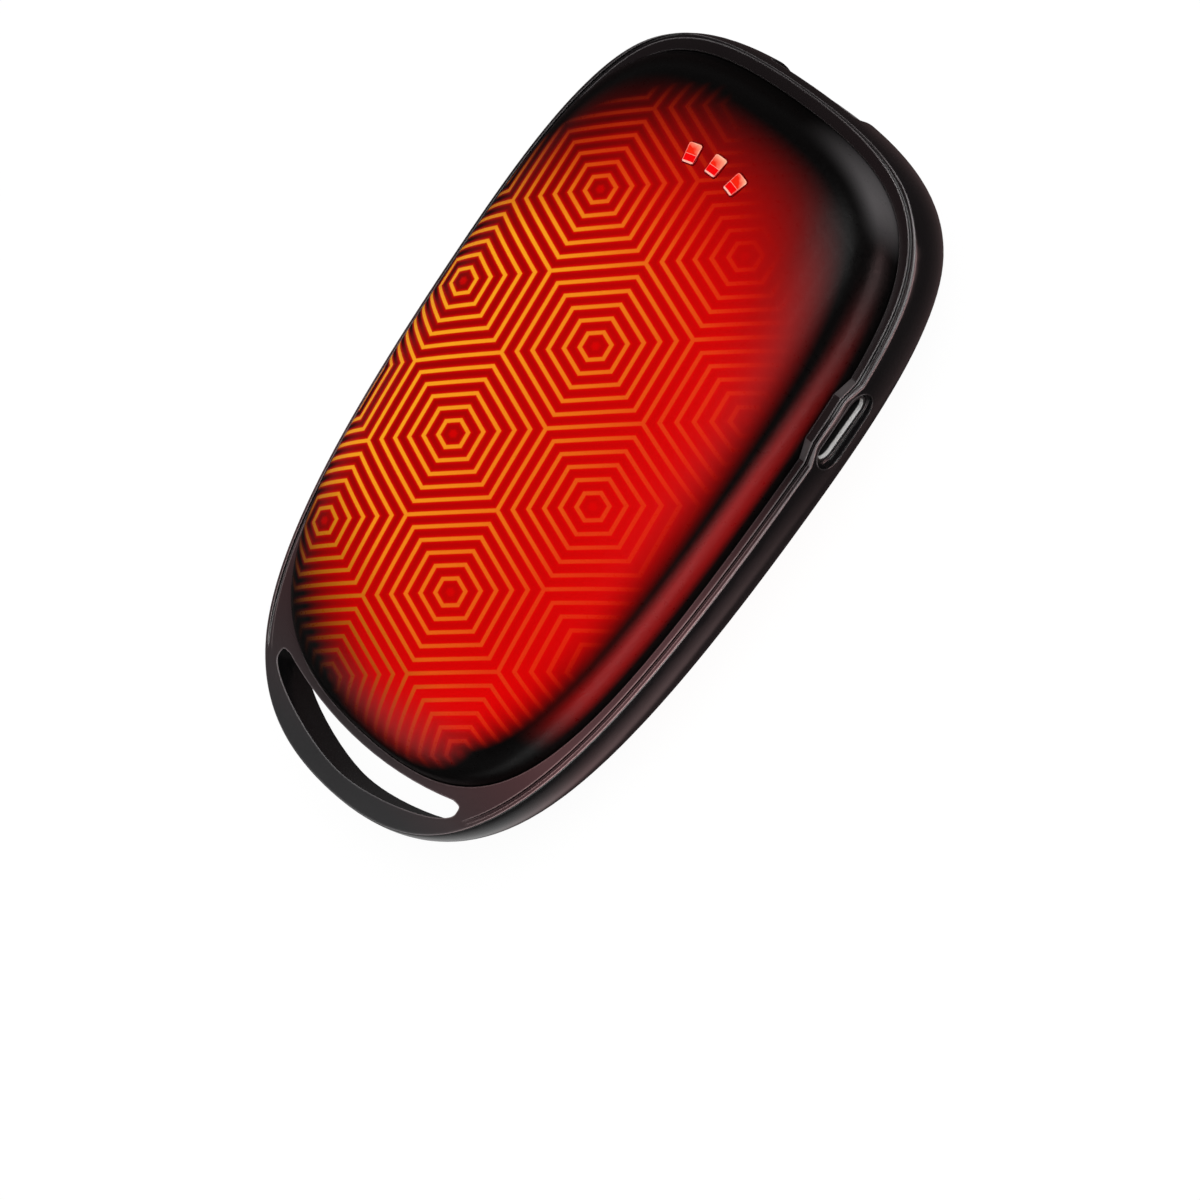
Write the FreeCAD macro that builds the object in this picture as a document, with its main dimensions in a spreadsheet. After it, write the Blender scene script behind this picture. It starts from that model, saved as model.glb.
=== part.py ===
"""Rechargeable hand warmer: two domed shells on a flared band, with a heater under each shell.

The body lies with its front up. +Y points to the head with the output socket, +X to the side with
the charging socket and +Z out of the front. Sizes are in millimetres. Every piece is drawn about the
mid plane of the band and raised by half the thickness, so that the back crown rests at height zero.
"""
import FreeCAD, Part
import math
import os
import re

Vector = FreeCAD.Vector
Placement = FreeCAD.Placement
Rotation = FreeCAD.Rotation

SIZES = {
    # Thickness over both crowns, and the band's outline at mid height
    "half_thickness": 12.5,
    "band_half_width": 28.3,
    "band_head_reach": 51.3,
    "band_tail_reach": 51,
    "widest_station": 13.8,
    "band_head_fullness_share": 0.823,
    "band_tail_fullness_share": 0.763,
    # The domed shells: the width of the band round their outline at the mid plane, and their walls
    "collar_width": 2.2,
    "collar_head_width": 2.3,
    "loop_span": 8.3,
    "dome_station": 13,
    "dome_plan_fullness_share": 0.823,
    "dome_rise_fullness_share": 0.87,
    "crown_end_share": 0.86,
    "shell_wall": 1.8,
    "shell_fit": 0.1,
    "seat_gap": 0.05,
    # The band: bulged face, seam line, flare at the head, taper at the tail
    "band_bulge_radius": 13.5,
    "band_blank_half_height": 7.5,
    "seam_height": 3.65,
    "flare_run": 17,
    "flare_radius": 54,
    "taper_run": 10,
    "tail_edge_height": 3.13,
    "shelf_half_height": 2.6,
    "shelf_width": 2.1,
    "lip_round": 0.35,
    # The groove between the collar's ledge and its lip, whose floor rises and runs out at the tail
    "ledge_width": 0.7,
    "groove_width": 0.45,
    "groove_depth": 0.4,
    "groove_tail_run": 15,
    "groove_tail_rise": 0.75,
    # The crescent slot in the tail loop
    "slot_tip_side_share": 0.574,
    "slot_tip_run": 8.9,
    "slot_shoulder_side_share": 0.53,
    "slot_shoulder_run": 9.9,
    "slot_bar": 0.8,
    "loop_width": 2.95,
    "slot_fullness_share": 0.38,
    # The power button, its moat and its travel
    "button_run": 27.2,
    "moat_length": 10.2,
    "moat_height": 4.3,
    "moat_depth": 1.3,
    "button_length": 8.3,
    "button_height": 2.55,
    "button_setback": 0.35,
    "button_fit": 0.15,
    "button_wall": 1.8,
    "button_round": 0.2,
    "flange_length": 9.4,
    "flange_height": 3.6,
    "flange_thickness": 0.7,
    "flange_gap": 0.05,
    "nub_length": 2.4,
    "nub_reach": 0.45,
    "button_travel": 0.5,
    # The side-push switch behind the button
    "switch_length": 4.7,
    "switch_depth": 3,
    "switch_height": 2,
    "plunger_length": 2,
    "plunger_height": 1.2,
    "plunger_reach": 1,
    "plunger_depth": 0.9,
    "plunger_fit": 0.12,
    # The charging socket on the right side and the bump of the seam round it
    "port_run": 30.1,
    "port_length": 8.94,
    "port_height": 3.26,
    "port_wall": 0.3,
    "port_depth": 7.35,
    "port_setback": 1.05,
    "port_fit": 0.15,
    "port_recess_margin": 0.5,
    "port_recess_depth": 1,
    "port_tongue_width": 6.69,
    "port_tongue_thickness": 0.7,
    "port_tongue_setback": 0.9,
    "port_block_depth": 2.4,
    "bump_rise": 1.3,
    "bump_top_half_length": 2.9,
    "bump_foot_half_length": 5.4,
    # The output socket at the head
    "outlet_width": 13.1,
    "outlet_height": 5.7,
    "outlet_wall": 0.35,
    "outlet_depth": 10,
    "outlet_setback": 1.9,
    "outlet_fit": 0.2,
    "outlet_recess_width": 14.4,
    "outlet_recess_height": 7.2,
    "outlet_recess_depth": 1.5,
    "outlet_recess_round": 1.2,
    "outlet_tongue_width": 11.1,
    "outlet_tongue_thickness": 1.84,
    "outlet_tongue_rise": 0.7,
    "outlet_tongue_setback": 0.9,
    "outlet_block_depth": 2.6,
    # The circuit board, its seats and its screws
    "board_top": 0.15,
    "board_thickness": 1.2,
    "board_gap": 0.5,
    "board_end_run": 44.3,
    "board_notch_gap": 0.6,
    "boss_radius": 2.2,
    "boss_depth": 3.1,
    "pilot_radius": 0.95,
    "screw_hole_radius": 1.1,
    "screw_radius": 0.9,
    "screw_length": 3.8,
    "screw_head_radius": 1.7,
    "screw_head_height": 1.1,
    "head_boss_inset": 8.7,
    "head_boss_run": 18.3,
    "tail_boss_inset": 7.3,
    "tail_boss_run": 40.3,
    # The lights: chips on the board, a guide bar and three lenses fanned at the head
    "lens_width": 1.8,
    "lens_length": 2.6,
    "lens_round": 0.35,
    "lens_proud": 0.2,
    "lens_fit": 0.08,
    "lens_pitch": 3.5,
    "lens_run": 14.1,
    "lens_fan_radius": 15,
    "guide_bar_width": 11,
    "guide_bar_length": 2,
    "guide_bar_thickness": 1,
    "guide_bar_drop": 3.4,
    "chip_width": 1.2,
    "chip_length": 1.8,
    "chip_height": 0.7,
    "chip_gap": 0.25,
    # The pouch cells and their tabs
    "cell_side_gap": 13.3,
    "cell_head_run": 29.3,
    "cell_tail_gap": 14.7,
    "cell_cover": 5.5,
    "cell_gap": 0.2,
    "cell_round": 1.2,
    "tab_width": 4,
    "tab_thickness": 0.15,
    "tab_overlap": 3,
    "tab_side": 8,
    # The heating layers under each shell
    "layer_gap": 0.05,
    "spreader_thickness": 0.8,
    "film_thickness": 0.2,
    "layer_side_inset": 8.1,
    "layer_head_inset": 15.5,
    "layer_tail_inset": 11.7,
    "film_margin": 1,
    "pad_side_inset": 2,
    "pad_end_inset": 4,
    "bead_radius": 0.6,
    "bead_length": 2.4,
    "bead_run": 12,
    "bead_window_margin": 0.8,
    "lead_radius": 0.45,
    "lead_side": 5,
    "lead_run": 22.8,
    # Parts on the board
    "control_chip_width": 5,
    "control_chip_height": 0.9,
    "coil_width": 6.2,
    "coil_height": 3,
    "coil_round": 0.8,
    "capacitor_length": 3.2,
    "capacitor_width": 1.6,
    "capacitor_pitch": 3,
    "part_run": 22.3,
    # Overrun of every cut
    "overrun": 1,
}

# Heights of the dome's sections, as shares of the way along its profile curve
DOME_SECTION_SHARES = (0, 0.16, 0.3, 0.43, 0.55, 0.66, 0.76, 0.84)
# Heights of the band's sections, as shares of its blank's half height
BAND_SECTION_SHARES = (-1, -0.5, 0, 0.5, 1)
# Turns the sketch axes so that sketch x runs along +Y, sketch y along +Z and the normal along +X
SIDE_TURN = Rotation(Vector(1, 1, 1), 120)
# Stations on the flare's arc, as shares of the way to its end
FLARE_SHARES = (0.5, 1)

doc = FreeCAD.newDocument("HandWarmer")
sheet = doc.addObject("Spreadsheet::Sheet", "Sizes")
for row, (alias, value) in enumerate(SIZES.items(), start=1):
    sheet.set(f"A{row}", alias)
    sheet.set(f"B{row}", str(value))
    sheet.setAlias(f"B{row}", alias)
doc.recompute()
pieces = {}


# Places along the body, and the outlines of the shells and the cells, all tied to the band's outline
DOME_HALF_WIDTH = "band_half_width - collar_width"
DOME_HEAD = "band_head_reach - collar_head_width"
DOME_TAIL = "band_tail_reach - loop_span"
FLARE_START = "band_head_reach - flare_run"
GROOVE_LIP = "collar_width - shell_fit - ledge_width - groove_width"
BUTTON_STATION = "band_head_reach - button_run"
PORT_STATION = "band_head_reach - port_run"
LENS_STATION = "band_head_reach - lens_run"
LEAD_STATION = "band_head_reach - lead_run"
PART_STATION = "band_head_reach - part_run"
BOARD_END = "band_head_reach - board_end_run"
HEAD_BOSS_SIDE = "band_half_width - head_boss_inset"
HEAD_BOSS_STATION = "band_head_reach - head_boss_run"
TAIL_BOSS_SIDE = "band_half_width - tail_boss_inset"
TAIL_BOSS_STATION = "band_head_reach - tail_boss_run"
CELL_HALF_WIDTH = "band_half_width - cell_side_gap"
CELL_HEAD = "band_head_reach - cell_head_run"
CELL_TAIL = DOME_TAIL + " - cell_tail_gap"
CELL_FACE = "half_thickness - cell_cover"


def size(alias):
    """Read one driving size from the sheet."""
    return float(sheet.get(alias))


def total(text):
    """Work out a sum of driving sizes, such as DOME_HEAD."""
    terms = re.findall(r"(-?) ?([a-z]\w+)", text)
    return sum(-size(alias) if sign else size(alias) for sign, alias in terms)


def bind(item, bindings):
    """Tie properties to sums of size names, such as {"Length": "2 * shell_wall"}."""
    for path, text in bindings.items():
        item.setExpression(path, re.sub(r"[a-z]\w+", lambda name: "Sizes." + name.group(), text))


def add(kind, name, **properties):
    """Add an object to the document and set its plain properties."""
    item = doc.addObject(kind, name)
    for key, value in properties.items():
        setattr(item, key, value)
    return item


def about(middle, span):
    """Bound limits of a span centred on a place."""
    return f"{middle} - ({span}) / 2", f"{middle} + ({span}) / 2"


def block(name, x, y, z):
    """Box between two bound limits on each axis."""
    item = add("Part::Box", name)
    for side, axis, (low, high) in zip(("Length", "Width", "Height"), "xyz", (x, y, z)):
        bind(item, {side: f"({high}) - ({low})", f"Placement.Base.{axis}": low})
    return item


def rod(name, radius, length, x, y, z, turn=Rotation()):
    """Cylinder whose foot is at a bound place, along +Z or turned from it."""
    item = add("Part::Cylinder", name)
    item.Placement = Placement(Vector(), turn)
    bind(item, {"Radius": radius, "Height": length})
    bind(item, {"Placement.Base.x": x, "Placement.Base.y": y, "Placement.Base.z": z})
    return item


def cut(name, base, tools):
    """Take one or more tools away from a base."""
    tool = tools[0] if len(tools) == 1 else add("Part::MultiFuse", name + "_tools", Shapes=tools)
    return add("Part::Cut", name, Base=base, Tool=tool)


def common(name, shapes):
    """Keep what all the shapes share."""
    return add("Part::MultiCommon", name, Shapes=shapes)


def fuse(name, shapes):
    """Join shapes into one solid."""
    return add("Part::MultiFuse", name, Shapes=shapes, Refine=True)


def drawing(name, curves, turn=Rotation()):
    """Sketch that holds the given curves, on the mid plane or turned from it."""
    item = add("Sketcher::SketchObject", name)
    item.Placement = Placement(Vector(), turn)
    item.addGeometry(curves)
    return item


def prism(name, sketch, direction, forward, backward="0"):
    """Extrude a sketch along a direction by bound lengths both ways."""
    item = add("Part::Extrusion", name, Base=sketch, DirMode="Custom", Dir=direction, Solid=True)
    bind(item, {"LengthFwd": forward, "LengthRev": backward})
    return item


def rounded(name, base, radius, picks):
    """Round the edges of a base that the test picks out."""
    doc.recompute()
    edges = [number for number, edge in enumerate(base.Shape.Edges, start=1) if picks(edge)]
    return add("Part::Fillet", name, Base=base, Edges=[(number, radius, radius) for number in edges])


def piece(label, item):
    """Name a finished piece and raise it from the mid plane to its height over the floor."""
    heights = [text for path, text in item.ExpressionEngine if path.endswith("Placement.Base.z")]
    item.Label = label
    item.setExpression("Placement.Base.z", " + ".join(heights + ["Sizes.half_thickness"]))
    pieces[label] = item
    return item


def mirrored(name, source):
    """Copy of a shape, turned over to the back of the mid plane."""
    return add("Part::Mirroring", name, Source=source, Normal=Vector(0, 0, 1))


def bezier(*points):
    """Cubic curve through its first and last point, drawn towards the two between."""
    curve = Part.BezierCurve()
    curve.setPoles([Vector(x, y) for x, y in points])
    return curve.toBSpline()


def egg(half_width, head, tail, station, head_share, tail_share):
    """Closed egg outline of four quarters that meet square to the axes."""
    head_pull = station + head_share * (head - station)
    tail_pull = station - tail_share * (station + tail)
    head_in = head_share * half_width
    tail_in = tail_share * half_width
    return [
        bezier((0, head), (head_in, head), (half_width, head_pull), (half_width, station)),
        bezier((half_width, station), (half_width, tail_pull), (tail_in, -tail), (0, -tail)),
        bezier((0, -tail), (-tail_in, -tail), (-half_width, tail_pull), (-half_width, station)),
        bezier((-half_width, station), (-half_width, head_pull), (-head_in, head), (0, head)),
    ]


def dome_egg(inset, scale=1):
    """The shells' outline, drawn in by an inset and scaled about the crown's station."""
    station = size("dome_station")
    return egg(
        scale * (total(DOME_HALF_WIDTH) - inset),
        station + scale * (total(DOME_HEAD) - inset - station),
        -station + scale * (total(DOME_TAIL) - inset + station),
        station,
        size("dome_plan_fullness_share"),
        size("dome_plan_fullness_share"),
    )


def obround(length, height):
    """Closed outline with two straight sides and two round ends, about the origin."""
    radius = height / 2
    reach = length / 2 - radius
    return [
        Part.LineSegment(Vector(-reach, -radius), Vector(reach, -radius)),
        Part.Arc(Vector(reach, -radius), Vector(reach + radius, 0), Vector(reach, radius)),
        Part.LineSegment(Vector(reach, radius), Vector(-reach, radius)),
        Part.Arc(Vector(-reach, radius), Vector(-reach - radius, 0), Vector(-reach, -radius)),
    ]


def dome(name, inset):
    """Solid dome over the mid plane, drawn in from the shell's outer face by an inset."""
    pull = size("dome_rise_fullness_share")
    end = size("crown_end_share")
    flat = 3 * (1 - end) ** 2 * end * pull + 3 * (1 - end) * end**2 + end**3
    crown = size("half_thickness") / flat - inset
    sections = []
    for share in DOME_SECTION_SHARES + (end,):
        rest = 1 - share
        scale = rest**3 + 3 * rest**2 * share + 3 * rest * share**2 * pull
        height = crown * (3 * rest**2 * share * pull + 3 * rest * share**2 + share**3)
        section = drawing(f"{name}_section", dome_egg(inset, scale))
        section.Placement.Base.z = height
        sections.append(section)
    return add("Part::Loft", name, Sections=sections, Solid=True, Ruled=False)


def upright(name, curves, low, high):
    """Straight prism of a plan outline between two bound heights."""
    item = prism(name, drawing(name + "_plan", curves), Vector(0, 0, 1), f"({high}) - ({low})")
    bind(item, {"Placement.Base.z": low})
    return item


# The dome's outer face, its enlarged copy that cuts the collar, and its hollow
front_dome = dome("front_dome", 0)
collar_dome = dome("collar_dome", -size("shell_fit"))
hollow_dome = dome("hollow_dome", size("shell_wall"))


def band_egg(inset):
    """The band's outline at mid height, drawn in by an inset."""
    return egg(
        size("band_half_width") - inset,
        size("band_head_reach") - inset,
        size("band_tail_reach") - inset,
        size("widest_station"),
        size("band_head_fullness_share"),
        size("band_tail_fullness_share"),
    )


def band_blank():
    """Bulged solid of the band's outline, taller than the seam lines that trim it."""
    bulge = size("band_bulge_radius")
    sections = []
    for share in BAND_SECTION_SHARES:
        height = share * size("band_blank_half_height")
        inset = bulge - math.sqrt(bulge**2 - height**2)
        section = drawing("band_section", band_egg(inset))
        section.Placement.Base.z = height
        sections.append(section)
    return add("Part::Loft", "band_blank", Sections=sections, Solid=True, Ruled=False)


def over_seam(name, bump, direction, run_out):
    """All that lies over the seam line on one half of the band, which falls or runs out at the tail."""
    seam = size("seam_height")
    tail = size("band_tail_reach") + size("overrun")
    head = size("band_head_reach") + size("overrun")
    taper_run = size("groove_tail_run") if run_out else size("taper_run")
    fall = -size("groove_tail_rise") if run_out else seam - size("tail_edge_height")
    ceiling = size("half_thickness") + size("overrun")
    station = total(PORT_STATION)
    flare_start = total(FLARE_START)
    taper_start = size("band_tail_reach") - taper_run
    foot = size("bump_foot_half_length")
    top = size("bump_top_half_length")
    rise = seam + size("bump_rise")
    run = [
        (head, ceiling),
        (-tail, ceiling),
        (-tail, seam - fall / taper_run * (tail - taper_start)),
        (-taper_start, seam),
    ]
    if bump:
        run += [(station - foot, seam), (station - top, rise), (station + top, rise), (station + foot, seam)]
    run.append((flare_start, seam))
    corners = [Vector(x, y) for x, y in run]
    curves = [Part.LineSegment(a, b) for a, b in zip(corners, corners[1:])]
    flare = [Vector(flare_start, seam)]
    for share in FLARE_SHARES:
        along = share * (head - flare_start)
        lift = size("flare_radius") - math.sqrt(size("flare_radius") ** 2 - along**2)
        flare.append(Vector(flare_start + along, seam + lift))
    curves.append(Part.Arc(*flare))
    curves.append(Part.LineSegment(flare[-1], corners[0]))
    return prism(name, drawing(name + "_profile", curves, SIDE_TURN), direction, "band_half_width + overrun")


def over_front_seam(name, run_out=False):
    """All that lies over the front seam, with the bump on the charging socket's side."""
    right = over_seam(name + "_right", True, Vector(1, 0, 0), run_out)
    left = over_seam(name + "_left", False, Vector(-1, 0, 0), run_out)
    return add("Part::MultiFuse", name, Shapes=[right, left])


def groove(name, side):
    """Ring sunk below the seam, between the collar's ledge and its lip."""
    lip = total(GROOVE_LIP)
    outer = upright(name + "_outer", band_egg(lip), "0", "half_thickness")
    inner = upright(name + "_inner", band_egg(lip + size("groove_width")), "-overrun",
                    "half_thickness + overrun")
    ring = cut(name + "_ring", outer, [inner])
    bind(side, {"Placement.Base.z": "-groove_depth"})
    return common(name, [ring, side])


def crescent():
    """Outline of the lanyard slot, between the shells' tail and the loop."""
    tail = size("band_tail_reach")
    tip = size("slot_tip_side_share") * size("band_half_width")
    tip_reach = tail - size("slot_tip_run")
    shoulder = size("slot_shoulder_side_share") * size("band_half_width")
    shoulder_reach = tail - size("slot_shoulder_run")
    near = total(DOME_TAIL) + size("slot_bar")
    far = tail - size("loop_width")
    pull = size("slot_fullness_share")
    side = tip_reach + pull * (far - tip_reach)
    left, right = (-tip, -shoulder_reach), (tip, -shoulder_reach)
    return [
        bezier((tip, -tip_reach), (tip, -side), (pull * tip, -far), (0, -far)),
        bezier((0, -far), (-pull * tip, -far), (-tip, -side), (-tip, -tip_reach)),
        bezier((-tip, -tip_reach), left, left, (-shoulder, -shoulder_reach)),
        Part.Arc(Vector(-shoulder, -shoulder_reach), Vector(0, -near), Vector(shoulder, -shoulder_reach)),
        bezier((shoulder, -shoulder_reach), right, right, (tip, -tip_reach)),
    ]


def side_slot(name, length, height, station, level, low, high):
    """Obround prism along X between two bound limits, at a bound station and level."""
    item = prism(name, drawing(name + "_outline", obround(length, height), SIDE_TURN), Vector(1, 0, 0),
                 f"({high}) - ({low})")
    bind(item, {"Placement.Base.x": low, "Placement.Base.y": station, "Placement.Base.z": level})
    return item


# Places that the button, the switch and the sockets share with the cuts that take them
BUTTON_FACE = "-band_half_width + button_setback"
MOAT_FLOOR = "-band_half_width + moat_depth"
FLANGE_SEAT = "-band_half_width + moat_depth + button_wall"
FLANGE_FACE = FLANGE_SEAT + " + flange_gap"
NUB_END = FLANGE_FACE + " + flange_thickness + nub_reach"
PLUNGER_TIP = NUB_END + " + flange_gap"
SWITCH_FACE = PLUNGER_TIP + " + plunger_reach"
PORT_LEVEL = "board_top + port_height / 2"
PORT_MOUTH = "band_half_width - port_setback"
PORT_REAR = PORT_MOUTH + " - port_depth"
OUTLET_MOUTH = "band_head_reach - outlet_setback"
OUTLET_REAR = OUTLET_MOUTH + " - outlet_depth"
BOARD_FOOT = "board_top - board_thickness"
BOSSES = [
    (f"{sign} ({side})", station, sign)
    for side, station in ((HEAD_BOSS_SIDE, HEAD_BOSS_STATION), (TAIL_BOSS_SIDE, TAIL_BOSS_STATION))
    for sign in ("1 *", "-1 *")
]


def outlet_prism(name, width, height, radius, low, high):
    """Prism along Y with a rounded rectangular outline, for the output socket and its recess."""
    base = block(name + "_block", about("0", width), (low, high), about("0", height))
    if not radius:
        return base
    return rounded(name, base, radius, lambda edge: abs(edge.tangentAt(edge.FirstParameter).y) > 0.9)


def mid_frame():
    """The band: collar, groove, loop, board seats and the cut-outs for the button and the sockets."""
    blank = band_blank()
    front_seam = over_front_seam("front_seam")
    back_seam = mirrored("back_seam", over_seam_pair("back_half"))
    ring = cut("trimmed_band", blank, [front_seam, back_seam])
    lipped = rounded("lipped_band", ring, size("lip_round"), on_band_edge)
    front_groove = groove("front_groove", over_front_seam("front_groove_floor", run_out=True))
    back_floor = over_seam_pair("back_groove_floor", run_out=True)
    back_groove = mirrored("back_groove", groove("back_groove_up", back_floor))
    seat_block = block("seat_space", about("0", "2 * band_half_width"),
                       ("-band_tail_reach", "band_head_reach"),
                       ("shelf_half_height", "half_thickness + overrun"))
    front_seat = common("front_seat", [collar_dome, seat_block])
    back_seat = mirrored("back_seat", front_seat)
    opening = upright("opening", dome_egg(size("shelf_width")), "-half_thickness", "half_thickness")
    slot = upright("lanyard_slot", crescent(), "-half_thickness", "half_thickness")
    hollowed = cut("hollowed_band", lipped, [front_groove, back_groove, front_seat, back_seat, opening, slot])
    seated = fuse("seated_band", [hollowed] + board_seats())
    return piece("mid_frame", cut("mid_frame", seated, button_cuts() + socket_cuts() + pilot_holes()))


def over_seam_pair(name, run_out=False):
    """All that lies over a seam without the bump, on both halves of the band."""
    right = over_seam(name + "_right", False, Vector(1, 0, 0), run_out)
    left = over_seam(name + "_left", False, Vector(-1, 0, 0), run_out)
    return add("Part::MultiFuse", name, Shapes=[right, left])


def on_band_edge(edge):
    """True on the outer edges of the band, where the seam lines meet its bulged face."""
    middle = edge.valueAt((edge.FirstParameter + edge.LastParameter) / 2)
    return abs(middle.z) > size("tail_edge_height") - size("lip_round") and edge.Length > size("overrun")


def board_seats():
    """Four bosses under the board, each carried by a tab from the band's inner wall."""
    seats = []
    for number, (side, station, sign) in enumerate(BOSSES):
        boss = rod(f"boss_{number}", "boss_radius", "boss_depth", side, station, f"{BOARD_FOOT} - boss_depth")
        wall = f"{side} + ({sign} (shelf_width + boss_radius))"
        limits = (side, wall) if sign.startswith("1") else (wall, side)
        tab = block(f"tab_{number}", limits, (f"{station} - boss_radius", f"{station} + boss_radius"),
                    ("-shelf_half_height", BOARD_FOOT))
        seats += [boss, tab]
    return seats


def pilot_holes():
    """Holes for the board's screws, right through the bosses."""
    return [
        rod(f"pilot_{number}", "pilot_radius", "boss_depth + 2 * overrun", side, station,
            f"{BOARD_FOOT} - boss_depth - overrun")
        for number, (side, station, sign) in enumerate(BOSSES)
    ]


def button_cuts():
    """The moat round the button, its guide hole, and the pocket for its flange."""
    fit = 2 * size("button_fit")
    outside = "-band_half_width - overrun"
    moat = side_slot("moat", size("moat_length"), size("moat_height"),
                     BUTTON_STATION, "0", outside, MOAT_FLOOR)
    guide = side_slot("guide_hole", size("button_length") + fit, size("button_height") + fit,
                      BUTTON_STATION, "0", outside, f"{FLANGE_SEAT} + overrun")
    pocket = side_slot("flange_pocket", size("flange_length") + fit, size("flange_height") + fit,
                       BUTTON_STATION, "0", FLANGE_SEAT, f"{FLANGE_SEAT} + shelf_width + overrun")
    return [moat, guide, pocket]


def socket_cuts():
    """Recess and hole for the charging socket, recess and hole for the output socket."""
    fit = 2 * size("port_fit")
    margin = 2 * size("port_recess_margin")
    outside = "band_half_width + overrun"
    recess = side_slot("port_recess", size("port_length") + margin, size("port_height") + margin,
                       PORT_STATION, PORT_LEVEL, "band_half_width - port_recess_depth", outside)
    hole = side_slot("port_hole", size("port_length") + fit, size("port_height") + fit,
                     PORT_STATION, PORT_LEVEL, PORT_REAR, outside)
    outlet_recess = outlet_prism("outlet_recess", "outlet_recess_width", "outlet_recess_height",
                                 size("outlet_recess_round"), "band_head_reach - outlet_recess_depth",
                                 "band_head_reach + overrun")
    outlet_hole = outlet_prism("outlet_hole", "outlet_width + 2 * outlet_fit",
                               "outlet_height + 2 * outlet_fit", 0, OUTLET_REAR, "band_head_reach + overrun")
    return [recess, hole, outlet_recess, outlet_hole]


def shell_blank(name):
    """Domed wall from the frame's shelf up to the crown."""
    reach = "band_head_reach + overrun"
    under = block(name + "_under", about("0", "2 * band_half_width"), ("-band_tail_reach", reach),
                  ("-overrun", "shelf_half_height + seat_gap"))
    outlet = block(name + "_outlet_notch", about("0", "outlet_width + 2 * outlet_fit"), (OUTLET_REAR, reach),
                   ("0", "outlet_height / 2 + outlet_fit"))
    return cut(name, front_dome, [hollow_dome, under, outlet])


def lens_outline(grow):
    """Rounded rectangle of one lens, grown by a clearance."""
    half = size("lens_width") / 2 + grow
    reach = size("lens_length") / 2 + grow
    radius = size("lens_round") + grow
    turn = radius * math.sqrt(0.5)
    curves = []
    for x, y in ((1, 1), (-1, 1), (-1, -1), (1, -1)):
        centre = Vector(x * (half - radius), y * (reach - radius))
        side = centre + Vector(x * radius, 0)
        end = centre + Vector(0, y * radius)
        curves.append(Part.Arc(side, centre + Vector(x * turn, y * turn), end))
    corners = [(arc.StartPoint, arc.EndPoint) for arc in curves]
    (side_a, end_a), (side_b, end_b), (side_c, end_c), (side_d, end_d) = corners
    for start, end in ((end_a, end_b), (side_b, side_c), (end_c, end_d), (side_d, side_a)):
        curves.append(Part.LineSegment(start, end))
    return curves


def lens_places():
    """Centre and turn of each of the three lenses, fanned about a point towards the tail."""
    fan = size("lens_fan_radius")
    angles = [math.asin(number * size("lens_pitch") / fan) for number in (-1, 0, 1)]
    hub = total(LENS_STATION) - fan
    return [(fan * math.sin(angle), hub + fan * math.cos(angle), -math.degrees(angle)) for angle in angles]


def lens_prisms(name, grow, low, high):
    """Three upright prisms in a fan near the head."""
    prisms = []
    for x, y, turn in lens_places():
        item = upright(f"{name}_{len(prisms)}", lens_outline(grow), low, high)
        item.Placement.Rotation = Rotation(Vector(0, 0, 1), turn)
        item.Placement.Base.x = x
        item.Placement.Base.y = y
        prisms.append(item)
    return prisms


def shells():
    """Front shell with its windows and a notch for the charging socket, and the back shell."""
    windows = lens_prisms("window", size("lens_fit"), "0", "half_thickness + overrun")
    notch = block("port_notch", (f"({DOME_HALF_WIDTH}) / 2", f"{DOME_HALF_WIDTH} + overrun"),
                  about(PORT_STATION, "port_length + 2 * port_fit"),
                  ("0", f"{PORT_LEVEL} + port_height / 2 + port_fit"))
    piece("front_shell", cut("front_shell", shell_blank("front_wall"), windows + [notch]))
    piece("back_shell", mirrored("back_shell", shell_blank("back_wall")))


def light_guide():
    """Three lenses that follow the dome, a little proud of it, on posts joined by a bar."""
    posts = lens_prisms("lens", 0, "board_top + chip_height + chip_gap", "half_thickness + overrun")
    proud = dome("lens_face", -size("lens_proud"))
    bar = block("guide_bar", about("0", "guide_bar_width"), about(LENS_STATION, "guide_bar_length"),
                ("half_thickness - guide_bar_drop - guide_bar_thickness", "half_thickness - guide_bar_drop"))
    trimmed = [common(f"trimmed_lens_{number}", [post, proud]) for number, post in enumerate(posts)]
    piece("light_guide", fuse("light_guide", trimmed + [bar]))


def indicator_leds():
    """One light chip on the board under each post of the light guide."""
    chips = []
    for x, y, turn in lens_places():
        chip = block(f"chip_{len(chips)}", about("0", "chip_width"), about("0", "chip_length"),
                     ("board_top", "board_top + chip_height"))
        moved = add("Part::Compound", f"led_{len(chips)}", Links=[chip])
        moved.Placement.Base = Vector(x, y)
        chips.append(moved)
    piece("indicator_leds", add("Part::Compound", "indicator_leds", Links=chips))


def power_button():
    """Obround cap with a rounded face, a retaining flange and a nub that meets the switch."""
    cap = side_slot("cap", size("button_length"), size("button_height"), BUTTON_STATION, "0",
                    BUTTON_FACE, f"{FLANGE_FACE} + flange_thickness")
    face = size("button_setback") - size("band_half_width")
    smooth = rounded("rounded_cap", cap, size("button_round"),
                     lambda edge: abs(edge.CenterOfMass.x - face) < size("button_round"))
    flange = side_slot("flange", size("flange_length"), size("flange_height"), BUTTON_STATION, "0",
                       FLANGE_FACE, f"{FLANGE_FACE} + flange_thickness")
    nub = block("nub", (FLANGE_FACE, NUB_END), about(BUTTON_STATION, "nub_length"),
                about("0", "button_height"))
    piece("power_button", fuse("power_button", [smooth, flange, nub]))


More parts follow.
